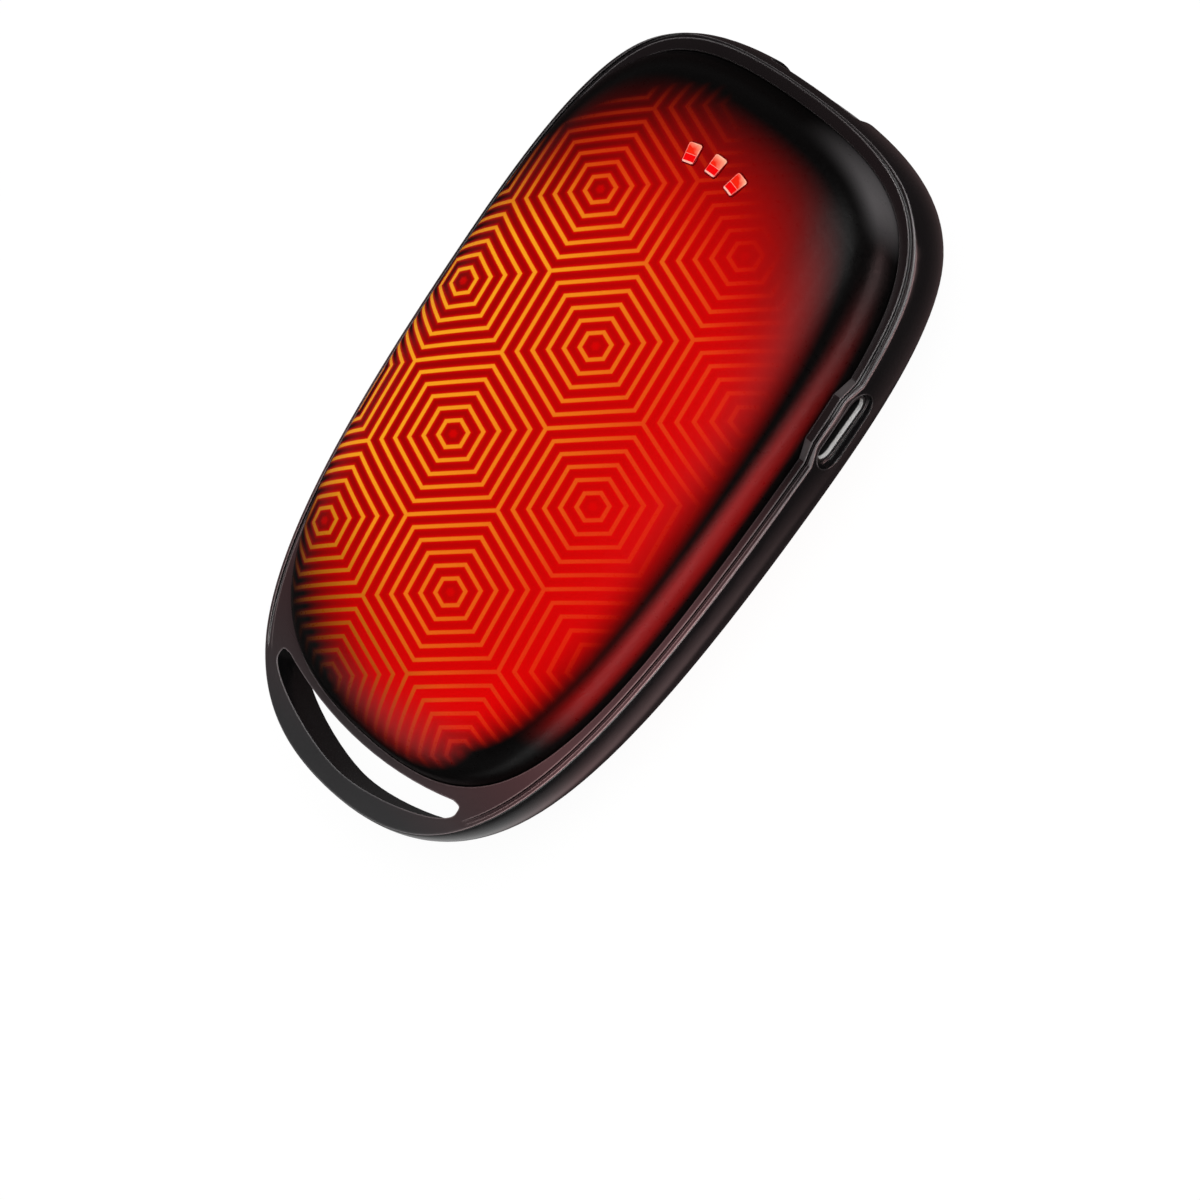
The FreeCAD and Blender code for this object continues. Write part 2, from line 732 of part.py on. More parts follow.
def switch():
    """Side-push switch let into the board's edge, with a plunger that slides in its mouth."""
    body = block("switch_case", (SWITCH_FACE, f"{SWITCH_FACE} + switch_depth"),
                 about(BUTTON_STATION, "switch_length"), about("0", "switch_height"))
    mouth_end = f"{SWITCH_FACE} + plunger_depth + button_travel + plunger_fit"
    mouth = block("switch_mouth", (f"{SWITCH_FACE} - overrun", mouth_end),
                  about(BUTTON_STATION, "plunger_length + 2 * plunger_fit"),
                  about("0", "plunger_height + 2 * plunger_fit"))
    plunger = block("plunger", (PLUNGER_TIP, f"{SWITCH_FACE} + plunger_depth"),
                    about(BUTTON_STATION, "plunger_length"), about("0", "plunger_height"))
    piece("switch_body", cut("switch_body", body, [mouth]))
    piece("switch_plunger", plunger)


def main_board():
    """U-shaped board that follows the band's inner wall and goes round the head of the cells."""
    plate = upright("board_plate", dome_egg(size("shelf_width") + size("board_gap")), BOARD_FOOT, "board_top")
    low = f"{BOARD_FOOT} - overrun"
    high = "board_top + overrun"
    width = about("0", "2 * band_half_width")
    tools = [
        block("board_end", width, ("-band_tail_reach", BOARD_END), (low, high)),
        block("cell_notch", about("0", f"2 * ({CELL_HALF_WIDTH} + board_notch_gap)"),
              ("-band_tail_reach", f"{CELL_HEAD} + board_notch_gap"), (low, high)),
        block("outlet_notch", about("0", "outlet_width + 2 * outlet_fit"),
              (f"{OUTLET_REAR} - outlet_fit", "band_head_reach"), (low, high)),
        block("switch_notch", ("-band_half_width", f"{SWITCH_FACE} + switch_depth + plunger_fit"),
              about(BUTTON_STATION, "switch_length + 2 * plunger_fit"), (low, high)),
    ]
    for number, (side, station, sign) in enumerate(BOSSES):
        tools.append(rod(f"screw_hole_{number}", "screw_hole_radius", "board_thickness + 2 * overrun",
                         side, station, low))
    piece("main_board", cut("main_board", plate, tools))


def board_screws():
    """Four screws with flat heads on the board, down into the bosses."""
    screws = []
    for number, (side, station, sign) in enumerate(BOSSES):
        head = rod(f"screw_head_{number}", "screw_head_radius", "screw_head_height",
                   side, station, "board_top")
        shank = rod(f"shank_{number}", "screw_radius", "screw_length + screw_head_height", side, station,
                    "board_top - screw_length")
        screws.append(fuse(f"screw_{number}", [head, shank]))
    piece("board_screws", add("Part::Compound", "board_screws", Links=screws))


def charging_socket():
    """Obround metal shell with a rear block and a thin tongue inside."""
    wall = 2 * size("port_wall")
    inside = (size("port_length") - wall, size("port_height") - wall)
    skin = side_slot("port_skin", size("port_length"), size("port_height"), PORT_STATION, PORT_LEVEL,
                     PORT_REAR, PORT_MOUTH)
    bore = side_slot("port_bore", *inside, PORT_STATION, PORT_LEVEL, f"{PORT_REAR} - overrun",
                     f"{PORT_MOUTH} + overrun")
    piece("usb_c_shell", cut("usb_c_shell", skin, [bore]))
    rear = side_slot("port_block", *inside, PORT_STATION, PORT_LEVEL, PORT_REAR,
                     f"{PORT_REAR} + port_block_depth")
    tongue = block("port_tongue", (PORT_REAR, f"{PORT_MOUTH} - port_tongue_setback"),
                   about(PORT_STATION, "port_tongue_width"), about(PORT_LEVEL, "port_tongue_thickness"))
    piece("usb_c_tongue", fuse("usb_c_tongue", [rear, tongue]))


def output_socket():
    """Rectangular metal shell with a rear block and a thick tongue over its middle."""
    skin = outlet_prism("outlet_skin", "outlet_width", "outlet_height", 0, OUTLET_REAR, OUTLET_MOUTH)
    inner = ("outlet_width - 2 * outlet_wall", "outlet_height - 2 * outlet_wall")
    bore = outlet_prism("outlet_bore", *inner, 0, f"{OUTLET_REAR} - overrun", f"{OUTLET_MOUTH} + overrun")
    piece("usb_a_shell", cut("usb_a_shell", skin, [bore]))
    rear = outlet_prism("outlet_block", *inner, 0, OUTLET_REAR, f"{OUTLET_REAR} + outlet_block_depth")
    tongue = block("outlet_tongue", about("0", "outlet_tongue_width"),
                   (OUTLET_REAR, f"{OUTLET_MOUTH} - outlet_tongue_setback"),
                   about("outlet_tongue_rise", "outlet_tongue_thickness"))
    piece("usb_a_tongue", fuse("usb_a_tongue", [rear, tongue]))


def cells():
    """Two pouch cells back to back, with metal tabs that lie on the board."""
    x = about("0", f"2 * ({CELL_HALF_WIDTH})")
    y = (f"-({CELL_TAIL})", CELL_HEAD)
    upper = block("upper_pouch", x, y, ("cell_gap / 2", CELL_FACE))
    lower = block("lower_pouch", x, y, (f"-({CELL_FACE})", "-cell_gap / 2"))
    for label, pouch in (("upper_cell", upper), ("lower_cell", lower)):
        piece(label, rounded(label, pouch, size("cell_round"), lambda edge: True))
    tabs = []
    levels = (("board_top", "board_top + tab_thickness"), (f"{BOARD_FOOT} - tab_thickness", BOARD_FOOT))
    run = (CELL_HEAD, f"{CELL_HEAD} + board_notch_gap + tab_overlap")
    for side in ("tab_side", "-1 * tab_side"):
        for level in levels:
            tabs.append(block(f"tab_strip_{len(tabs)}", about(side, "tab_width"), run, level))
    piece("cell_tabs", add("Part::Compound", "cell_tabs", Links=tabs))


def layer(name, inset, thickness, margin):
    """Thin domed plate under the front shell, cut to the heated area."""
    plan = egg(
        total(DOME_HALF_WIDTH) - size("layer_side_inset") - margin,
        total(DOME_HEAD) - size("layer_head_inset") - margin,
        total(DOME_TAIL) - size("layer_tail_inset") - margin,
        size("dome_station"),
        size("dome_plan_fullness_share"),
        size("dome_plan_fullness_share"),
    )
    area = upright(name + "_area", plan, "shelf_half_height", "half_thickness + overrun")
    upper = dome(name + "_upper", inset)
    lower = dome(name + "_lower", inset + thickness)
    return cut(name, common(name + "_plate", [upper, area]), [lower])


def heater():
    """Spreader, heating film, insulation pad, temperature bead and leads on each side of the cells."""
    spreader_inset = size("shell_wall") + size("layer_gap")
    film_inset = spreader_inset + size("spreader_thickness") + size("layer_gap")
    under_inset = film_inset + size("film_thickness") + size("layer_gap")
    spreader = layer("front_heat_spreader", spreader_inset, size("spreader_thickness"), 0)
    film = layer("front_heater_film", film_inset, size("film_thickness"), size("film_margin"))
    under = dome("under_film", under_inset)
    bead_level = f"half_thickness - {under_inset} - bead_radius"
    bead_station = f"{CELL_HEAD} - bead_run"
    pad_block = block("pad_block", about("0", f"2 * ({CELL_HALF_WIDTH} - pad_side_inset)"),
                      (f"-({CELL_TAIL} - pad_end_inset)", f"{CELL_HEAD} - pad_end_inset"),
                      (f"{CELL_FACE} + layer_gap", "half_thickness"))
    window = block("bead_window", about("0", "bead_length + 2 * bead_window_margin"),
                   about(bead_station, "2 * bead_radius + 2 * bead_window_margin"), ("0", "half_thickness"))
    pad = cut("front_insulation_pad", common("domed_pad", [pad_block, under]), [window])
    bead = rod("front_thermistor", "bead_radius", "bead_length", "-bead_length / 2", bead_station,
               bead_level, Rotation(Vector(0, 1, 0), 90))
    for label, item in (("heat_spreader", spreader), ("heater_film", film), ("insulation_pad", pad),
                        ("thermistor", bead)):
        piece("back_" + label, mirrored("back_" + label, item))
    for side, foot in (("front", "board_top"), ("back", "board_thickness - board_top")):
        leads = []
        for number, place in enumerate(("lead_side", "-1 * lead_side")):
            wire = rod(f"{side}_wire_{number}", "lead_radius", "half_thickness", place, LEAD_STATION, foot)
            leads.append(common(f"{side}_lead_{number}", [wire, under]))
        pair = add("Part::Compound", side + "_lead_pair", Links=leads)
        piece(side + "_heater_leads", pair if side == "front" else mirrored("back_lead_turn", pair))
    for label, item in (("heat_spreader", spreader), ("heater_film", film), ("insulation_pad", pad),
                        ("thermistor", bead)):
        piece("front_" + label, add("Part::Compound", label, Links=[item]))


def board_parts():
    """Control chip, boost inductor and three capacitors on top of the board."""
    side = f"(lead_side + {HEAD_BOSS_SIDE}) / 2"
    chip = block("control_chip", about(side, "control_chip_width"),
                 about(PART_STATION, "control_chip_width"),
                 ("board_top", "board_top + control_chip_height"))
    piece("control_chip", chip)
    coil = block("coil_block", about("-" + side, "coil_width"), about(PART_STATION, "coil_width"),
                 ("board_top", "board_top + coil_height"))
    piece("boost_inductor", rounded("boost_inductor", coil, size("coil_round"),
                                    lambda edge: abs(edge.tangentAt(edge.FirstParameter).z) > 0.9))
    cans = []
    for number in ("-1", "0", "1"):
        middle = f"{number} * capacitor_pitch"
        cans.append(block(f"capacitor_{len(cans)}", about(middle, "capacitor_width"),
                          (f"{PART_STATION} + lead_radius",
                           f"{PART_STATION} + lead_radius + capacitor_length"),
                          ("board_top", "board_top + capacitor_width")))
    piece("capacitors", add("Part::Compound", "capacitors", Links=cans))


mid_frame()
shells()
power_button()
switch()
main_board()
board_screws()
light_guide()
indicator_leds()
charging_socket()
output_socket()
cells()
heater()
board_parts()
doc.recompute()

# Nothing is written unless every object was made and every piece is a sound solid
faults = [item.Name for item in doc.Objects if "Invalid" in item.State or "Error" in item.State]
faults += [label for label, item in pieces.items() if item.Shape.isNull() or not item.Shape.isValid()]
if faults:
    raise RuntimeError(f"not built: {faults}")
os.makedirs("parts", exist_ok=True)
for label, item in pieces.items():
    item.Shape.exportStep(f"parts/{label}.step")
    print(label, len(item.Shape.Solids), round(item.Shape.Volume, 2))
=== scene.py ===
# %% [markdown]
# # A rechargeable hand warmer
# The real thing is a pebble of two domed plastic shells on a black band. The shells carry a printed
# pattern of nested hexagons, and the band holds a button, a charging socket, an output socket and a
# loop for a lanyard. The solid model already has every shape at its real size, so this lesson loads it
# and spends its time on finishes, small details, light and the camera.

# %% Load the solid model
import math
import bpy
from mathutils import Matrix, Vector


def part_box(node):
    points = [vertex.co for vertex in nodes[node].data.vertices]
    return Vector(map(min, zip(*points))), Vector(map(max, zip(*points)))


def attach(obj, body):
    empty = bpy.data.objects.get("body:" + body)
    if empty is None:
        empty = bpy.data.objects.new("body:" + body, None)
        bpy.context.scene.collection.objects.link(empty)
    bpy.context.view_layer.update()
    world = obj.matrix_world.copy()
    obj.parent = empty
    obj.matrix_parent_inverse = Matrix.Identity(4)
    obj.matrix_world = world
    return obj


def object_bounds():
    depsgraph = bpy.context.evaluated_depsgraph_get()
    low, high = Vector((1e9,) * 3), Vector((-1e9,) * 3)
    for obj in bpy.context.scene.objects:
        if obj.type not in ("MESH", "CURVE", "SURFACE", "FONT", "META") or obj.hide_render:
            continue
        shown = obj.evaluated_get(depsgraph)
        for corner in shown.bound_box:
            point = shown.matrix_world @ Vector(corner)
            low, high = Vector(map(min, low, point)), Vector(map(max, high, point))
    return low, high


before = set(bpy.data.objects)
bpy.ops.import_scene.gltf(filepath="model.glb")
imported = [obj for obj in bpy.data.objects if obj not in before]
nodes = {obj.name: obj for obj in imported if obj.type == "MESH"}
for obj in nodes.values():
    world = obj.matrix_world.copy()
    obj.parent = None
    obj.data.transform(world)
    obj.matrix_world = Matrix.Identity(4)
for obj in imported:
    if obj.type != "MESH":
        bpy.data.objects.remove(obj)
cad_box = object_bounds()
MM = 0.001
print("loaded", len(nodes), "solids, size in mm:", [round(side / MM, 1) for side in cad_box[1] - cad_box[0]])

# %% [markdown]
# ## Two small helpers
# Colours are picked as sRGB hex values, but shaders work in linear light, so one function converts them.
# Every shader and geometry tree below is built by one function that adds a node, sets it up and links it.
# It gives back an output socket, so the next node can take it directly. Shader nodes are named without their
# prefix, and settings that come often have a short name. A Map Range node turns a range into 0 to 1, unless
# told otherwise. A Mix node has sockets for numbers, vectors and colours side by side: for colours the factor
# is input 0, the two colours are inputs 6 and 7, and the mixture is output 2.

# %% Helpers for colours and nodes
MIX_COLOURS = {"out": 2, "data_type": "RGBA"}
SMOOTH = {"interpolation_type": "SMOOTHSTEP"}
DOT = {"operation": "DOT_PRODUCT", "out": "Value"}
LENGTH = {"operation": "LENGTH", "out": "Value"}
TIMES = {"operation": "MULTIPLY"}


def linear(code):
    """Turn an sRGB hex colour such as "#C80203" into linear red, green, blue and alpha."""
    channels = [int(code[start:start + 2], 16) / 255 for start in (1, 3, 5)]
    return [c / 12.92 if c <= 0.04045 else ((c + 0.055) / 1.055) ** 2.4 for c in channels] + [1.0]


def add(tree, kind, *inputs, out=0, named=None, **settings):
    """Add a node, set its properties, feed its inputs in order and by name, and return an output."""
    node = tree.nodes.new(kind if "Node" in kind else "ShaderNode" + kind)
    for key, value in settings.items():
        setattr(node, key, value)
    for key, value in [*enumerate(inputs), *(named or {}).items()]:
        if isinstance(value, bpy.types.NodeSocket):
            tree.links.new(value, node.inputs[key])
        elif value is not None:
            node.inputs[key].default_value = linear(value) if isinstance(value, str) else value
    return node.outputs[out] if len(node.outputs) else node


print("amber in linear light:", [round(c, 3) for c in linear("#FDA020")])

# %% [markdown]
# ## Rounder shading for the solids
# A solid model arrives as loose flat triangles, which would show as facets on a glossy band. Its mesh must
# stay as it is, so a short Geometry Nodes tree works on top of it: it joins the corners that coincide,
# shades every face smoothly, and keeps only the edges sharper than a set angle.

# %% Shade the solids smoothly
JOIN_DISTANCE = 0.001 * MM
SHARP_ANGLE = math.radians(28)


def new_group(name, **inputs):
    """Empty Geometry Nodes group that takes a geometry and the inputs given by kind, and gives a geometry."""
    tree = bpy.data.node_groups.new(name, "GeometryNodeTree")
    for title, kind in {"Geometry": "Geometry", **inputs}.items():
        tree.interface.new_socket(title.replace("_", " "), in_out="INPUT", socket_type="NodeSocket" + kind)
    tree.interface.new_socket("Geometry", in_out="OUTPUT", socket_type="NodeSocketGeometry")
    return tree


def soften_tree():
    """Tree that joins coinciding corners and shades all but the sharp edges smoothly."""
    tree = new_group("Soften_moulded_edges", Join_Distance="Float", Sharp_Angle="Float")
    given = add(tree, "NodeGroupInput").node.outputs
    joined = add(tree, "GeometryNodeMergeByDistance", named={"Geometry": given[0], "Distance": given[1]})
    smooth = add(tree, "GeometryNodeSetShadeSmooth", joined, True, True, domain="FACE")
    angle = add(tree, "GeometryNodeInputMeshEdgeAngle")
    sharp = add(tree, "FunctionNodeCompare", angle, given[2], data_type="FLOAT", operation="GREATER_THAN")
    kept = add(tree, "GeometryNodeSetShadeSmooth", smooth, sharp, False, domain="EDGE")
    add(tree, "NodeGroupOutput", kept)
    return tree


def inputs_of(group):
    """Identifiers of a group's inputs by name, as its modifier wants them."""
    return {item.name: item.identifier for item in group.interface.items_tree if item.in_out == "INPUT"}


soften = soften_tree()
soften_inputs = inputs_of(soften)
for solid in nodes.values():
    modifier = solid.modifiers.new("Soften", "NODES")
    modifier.node_group = soften
    modifier[soften_inputs["Join Distance"]] = JOIN_DISTANCE
    modifier[soften_inputs["Sharp Angle"]] = SHARP_ANGLE
print("softened", len(nodes), "solids")

# %% [markdown]
# ## The camera
# The photograph looks down on the front from the charging socket's side, from about 0.4 m away and through
# a long lens, so the head comes towards the upper right. The three axes below were worked out from points
# that show in the photograph, such as the ends of the band and the corners of the slot.

# %% Camera
CAMERA_RIGHT = Vector((0.6852, 0.5676, -0.4564))
CAMERA_UP = Vector((-0.5723, 0.8072, 0.1447))
CAMERA_BACK = Vector((0.4506, 0.1621, 0.8779))
CAMERA_PLACE = Vector((0.1842, 0.04923, 0.34459))
LENS_MM, SENSOR_MM = 96.6, 36.0
NEAREST_SEEN = 10.0 * MM

camera = bpy.data.objects.new("Camera", bpy.data.cameras.new("Camera"))
bpy.context.scene.collection.objects.link(camera)
camera.matrix_world = Matrix.Translation(CAMERA_PLACE) @ Matrix(
    (CAMERA_RIGHT, CAMERA_UP, CAMERA_BACK)).transposed().to_4x4()
camera.data.sensor_width = SENSOR_MM
camera.data.lens = LENS_MM
camera.data.clip_start = NEAREST_SEEN
bpy.context.scene.camera = camera
body_middle = (Vector(cad_box[0]) + Vector(cad_box[1])) / 2
print("camera", round((CAMERA_PLACE - body_middle).length, 3), "m from the middle")

# %% [markdown]
# ## Floor and studio light
# The photograph has a white ground and very soft light. A pale floor that glows a little by itself, like a
# lit table, keeps the ground white and the shadow faint. What the black band mirrors of it is another matter:
# a photographer lays dark card on the table and leaves one pale strip round the object, so the band stays
# deep black with a soft grey streak low on its flank. Three wide suns stand in for softboxes: a key high
# over the head, a fill low at the tail and a rim light level with the table. Nothing bright stands where the
# crown would mirror it, because that would lay a grey veil over the printed colours.

# %% Floor
FLOOR_HALF = 3.0
FLOOR_DROP = 0.02 * MM
FLOOR_GLOW = 0.96

floor_mesh = bpy.data.meshes.new("Floor")
floor_mesh.from_pydata([(x * FLOOR_HALF, y * FLOOR_HALF, -FLOOR_DROP)
                        for x, y in ((-1, -1), (1, -1), (1, 1), (-1, 1))], [], [(0, 1, 2, 3)])
floor = bpy.data.objects.new("Floor", floor_mesh)
bpy.context.scene.collection.objects.link(floor)

paper = bpy.data.materials.new("Lit_white_table")
paper.use_nodes = True
tree = paper.node_tree
tree.nodes.clear()
matt = add(tree, "BsdfDiffuse", "#404040")
lit = add(tree, "Emission", "#FFFFFF", FLOOR_GLOW)
table = add(tree, "AddShader", matt, lit)
print("floor", 2 * FLOOR_HALF, "m wide")

# %% The floor as the band mirrors it: a pale strip
# The strip lies round an oval. Each pair says where it is dark and where it is pale, in shares of the oval:
# at its inner edge, outwards, on the left and towards the head.
STRIP_HALF = (35.0 * MM, 58.0 * MM)
STRIP_EDGE, STRIP_OUT, STRIP_LEFT, STRIP_HEAD = (0.90, 0.97), (1.28, 1.0), (-0.4, 0.3), (0.25, -0.3)
STRIP_GLOW, STRIP_HEAD_LEAST = 0.6, 0.12

spot = add(tree, "TexCoord", out="Object")
oval_place = add(tree, "VectorMath", spot, (1 / STRIP_HALF[0], 1 / STRIP_HALF[1], 0.0), **TIMES)
oval_far = add(tree, "VectorMath", oval_place, **LENGTH)
oval_x = add(tree, "SeparateXYZ", oval_place)
oval_y = oval_x.node.outputs[1]
strip = add(tree, "MapRange", oval_far, *STRIP_EDGE, 0.0, STRIP_GLOW, **SMOOTH)
for value, ends, least in ((oval_far, STRIP_OUT, 0.0), (oval_x, STRIP_LEFT, 0.0),
                           (oval_y, STRIP_HEAD, STRIP_HEAD_LEAST)):
    fade = add(tree, "MapRange", value, *ends, least, 1.0)
    strip = add(tree, "Math", strip, fade, **TIMES)
print("pale strip round an oval of", [round(2 * half / MM) for half in STRIP_HALF], "mm")

# %% The floor as the band mirrors it: a far card
# Far off on the right lies one more pale card, low enough for only the upright wall of the shell to mirror.
# Two slanted lines end it at the tail and at the head. Strip and card are faintly pink beside the red print
# and white at the tail.
CARD_GLOW, FAR_GLOW = 0.04, 12.5
FAR_CARD, FAR_RIGHT = (0.07, 0.14), (0.2, 1.2)
TAIL_WAY, FAR_TAIL = (0.5, 1.0, 0.0), (-0.10, 0.04)
HEAD_WAY, FAR_HEAD = (-1.1, 1.0, 0.0), (0.018, -0.01)
PINK_FROM = (-0.85, -0.6)

spot_far = add(tree, "VectorMath", spot, **LENGTH)
far_glow = add(tree, "MapRange", spot_far, *FAR_CARD, 0.0, FAR_GLOW)
far_share = add(tree, "MapRange", oval_x, *FAR_RIGHT)
for way, ends in ((TAIL_WAY, FAR_TAIL), (HEAD_WAY, FAR_HEAD)):
    end_share = add(tree, "VectorMath", spot, way, **DOT)
    end_share = add(tree, "MapRange", end_share, *ends)
    far_share = add(tree, "Math", far_share, end_share, **TIMES)
cards = add(tree, "Math", far_glow, far_share, CARD_GLOW, operation="MULTIPLY_ADD")
cards = add(tree, "Math", strip, cards, operation="ADD")
pink = add(tree, "MapRange", oval_y, *PINK_FROM)
tint = add(tree, "Mix", named={0: pink, 6: "#FFFFFF", 7: "#FFD2D2"}, **MIX_COLOURS)
mirrored = add(tree, "Emission", tint, cards)
in_mirror = add(tree, "LightPath", out="Is Glossy Ray")
add(tree, "OutputMaterial", add(tree, "MixShader", in_mirror, table, mirrored))
floor_mesh.materials.append(paper)
print("far card from", round(FAR_CARD[0] / MM), "mm off")

# %% Lights
# Each sun has the direction to it, its strength and its spread in degrees.
SUNS = {
    "Key": ((0.17, 0.37, 0.91), 2.75, 44),
    "Fill": ((-0.25, -0.85, 0.46), 0.6, 36),
    "Rim": ((0.985, -0.16, 0.06), 0.5, 22),
}
for name, (direction, strength, spread) in SUNS.items():
    lamp = bpy.data.lights.new(name, "SUN")
    lamp.energy = strength
    lamp.angle = math.radians(spread)
    sun = bpy.data.objects.new(name, lamp)
    sun.rotation_euler = Vector(direction).to_track_quat("Z", "Y").to_euler()
    bpy.context.scene.collection.objects.link(sun)
print("lit by", len(SUNS), "suns")

# %% The room round the table
# The walls glow low down, more on the right than on the left, and the ceiling is nearly dark.
LEFT_GLOW, RIGHT_GLOW, CEILING_GLOW = 0.25, 0.5, 0.05
CEILING_START = 0.5

world = bpy.data.worlds.new("Studio")
bpy.context.scene.world = world
world.use_nodes = True
tree = world.node_tree
tree.nodes.clear()
look = add(tree, "SeparateXYZ", add(tree, "TexCoord", out="Generated"))
wall_glow = add(tree, "MapRange", look, -1.0, 1.0, LEFT_GLOW, RIGHT_GLOW)
room_light = add(tree, "MapRange", look.node.outputs[2], 0.0, CEILING_START, wall_glow, CEILING_GLOW)
room = add(tree, "Background", "#FFFFFF", room_light)
backdrop = add(tree, "Background", "#FFFFFF", 1.0)
seen = add(tree, "LightPath", out="Is Camera Ray")
add(tree, "OutputWorld", add(tree, "MixShader", seen, room, backdrop))
bpy.context.scene.view_settings.view_transform = "Standard"
print("room built from", len(tree.nodes), "nodes")

# %% [markdown]
# ## How a finish starts
# Every finish is a Principled shader fed by Object coordinates, turned to millimetres first. Noise at a scale
# of 1 has blobs about half a unit across, so a grain of 0.2 mm is simply a noise with a scale of 0.5 / 0.2.
# Each finish also gets a fine bump, because no moulded, rolled or painted surface is perfectly even. No real
# edge is knife sharp either: a Bevel node bends the shading over the last tenths of a millimetre, and the
# edge catches a thin line of light.

# %% Helpers for finishes
BLOB = 0.5
NOISE_SPAN = (0.3, 0.7)
BEVEL_RAYS = 6


def start_finish(name):
    """Make an empty material; return it, its tree and the point on the piece in millimetres."""
    material = bpy.data.materials.new(name)
    material.use_nodes = True
    tree = material.node_tree
    tree.nodes.clear()
    point = add(tree, "TexCoord", out="Object")
    point = add(tree, "VectorMath", point, named={"Scale": 1 / MM}, operation="SCALE")
    return material, tree, point


def end_finish(tree, colour, roughness, height, depth_mm, edge_mm=0.0, **sockets):
    """Close a finish with a bump and softened edges. Plain numbers go on the shader's own sockets."""
    edge = add(tree, "Bevel", edge_mm * MM, samples=BEVEL_RAYS) if edge_mm else None
    normal = add(tree, "Bump", named={"Strength": 1.0, "Distance": depth_mm * MM, "Height": height,
                                      "Normal": edge})
    plain = {key.replace("_", " "): value for key, value in sockets.items()}
    shader = add(tree, "BsdfPrincipled",
                 named={"Base Color": colour, "Roughness": roughness, "Normal": normal, **plain})
    add(tree, "OutputMaterial", shader)


def plain_finish(name, dark, light, grain_mm, roughness, depth_mm, stretch=None, detail=2.0, **sockets):
    """Finish with one grain, stretched or not, in its colour, its gloss and its surface."""
    material, tree, point = start_finish(name)
    if stretch:
        point = add(tree, "VectorMath", point, stretch, **TIMES)
    speckle = add(tree, "TexNoise", named={"Vector": point, "Scale": BLOB / grain_mm, "Detail": detail})
    colour = add(tree, "Mix", named={0: speckle, 6: dark, 7: light}, **MIX_COLOURS)
    rough = add(tree, "MapRange", speckle, *NOISE_SPAN, *roughness)
    end_finish(tree, colour, rough, speckle, depth_mm, **sockets)
    return material


def dress(material, *names):
    """Give the same finish to several solids."""
    for name in names:
        nodes[name].data.materials.clear()
        nodes[name].data.materials.append(material)


print("finish helpers ready")

# %% [markdown]
# ## The printed shells
# The shells are polycarbonate with a soft-touch coat. A pattern of nested hexagons is printed on them: six
# rings to a cell, amber on red, with the red glowing out of the lines where the print is thin and everything
# dying away to the black of the coat at the shoulders. A picture could be wrapped on, but a rule stays sharp
# at any size: fold the plane onto one cell of a honeycomb, then measure how far a point is from its centre.

# %% The printed shells: place on the honeycomb
CELL_ORIGIN = (0.90, 12.61)
CELL_STEP = (20.65, 3.73)
CELL_RISE = (9.12, 18.41)
RINGS_PER_CELL = 6
ROW_HEIGHT = math.sqrt(0.75)
MID_HEIGHT = body_middle.z / MM

# The step and the rise are two edges of the honeycomb as printed. Their inverse turns millimetres into cells.
to_cells = Matrix(((CELL_STEP[0], CELL_RISE[0]), (CELL_STEP[1], CELL_RISE[1]))).inverted()
regular = Matrix(((1.0, 0.5), (0.0, ROW_HEIGHT))) @ to_cells
printed, tree, point = start_finish("Printed_soft_touch_polycarbonate")
across = add(tree, "SeparateXYZ", point)
along, up = across.node.outputs[1], across.node.outputs[2]
level = add(tree, "Math", up, MID_HEIGHT, operation="SUBTRACT")
front = add(tree, "Math", level, operation="SIGN")
height = add(tree, "Math", level, operation="ABSOLUTE")
side = add(tree, "Math", across, front, **TIMES)
flat = add(tree, "CombineXYZ", side, along, 0.0)
moved = add(tree, "VectorMath", flat, (*CELL_ORIGIN, 0.0), operation="SUBTRACT")
cell_u = add(tree, "VectorMath", moved, (*regular[0], 0.0), **DOT)
cell_v = add(tree, "VectorMath", moved, (*regular[1], 0.0), **DOT)
cell = add(tree, "CombineXYZ", cell_u, cell_v, 0.0)
cell_width = math.hypot(*CELL_STEP)
ring_width = cell_width / 2 / RINGS_PER_CELL
print("one cell is", round(cell_width, 1), "mm wide, one ring", round(ring_width, 2), "mm")

# %% The printed shells: rings of the nearest cell
# A honeycomb is two grids of rectangles, one shifted by half a step, so the nearer of two centres wins.
half_grid = (0.5, ROW_HEIGHT, 0.5)
other_half = tuple(-half for half in half_grid)
first = add(tree, "VectorMath", cell, half_grid, other_half, operation="WRAP")
shifted = add(tree, "VectorMath", cell, half_grid, operation="ADD")
second = add(tree, "VectorMath", shifted, half_grid, other_half, operation="WRAP")
first_far = add(tree, "VectorMath", first, **LENGTH)
second_flat = add(tree, "VectorMath", second, (1.0, 1.0, 0.0), **TIMES)
second_far = add(tree, "VectorMath", second_flat, **LENGTH)
nearer = add(tree, "Math", first_far, second_far, operation="LESS_THAN")
local = add(tree, "Mix", named={0: nearer, 4: second_flat, 5: first}, out=1, data_type="VECTOR")
local = add(tree, "VectorMath", local, operation="ABSOLUTE")
slanted = add(tree, "VectorMath", local, (0.5, ROW_HEIGHT, 0.0), **DOT)
straight = add(tree, "SeparateXYZ", local)
ring = add(tree, "Math", slanted, straight, operation="MAXIMUM")
ring = add(tree, "Math", ring, 2.0 * RINGS_PER_CELL, **TIMES)
print("rings drawn", RINGS_PER_CELL, "to a cell")

# %% The printed shells: lines on the rings
# A line and its glow are shares of a ring. The first half ring is left empty, so the centre has no dot.
LINE_HALF, LINE_SOFT, GLOW_HALF = 0.145, 0.045, 0.44

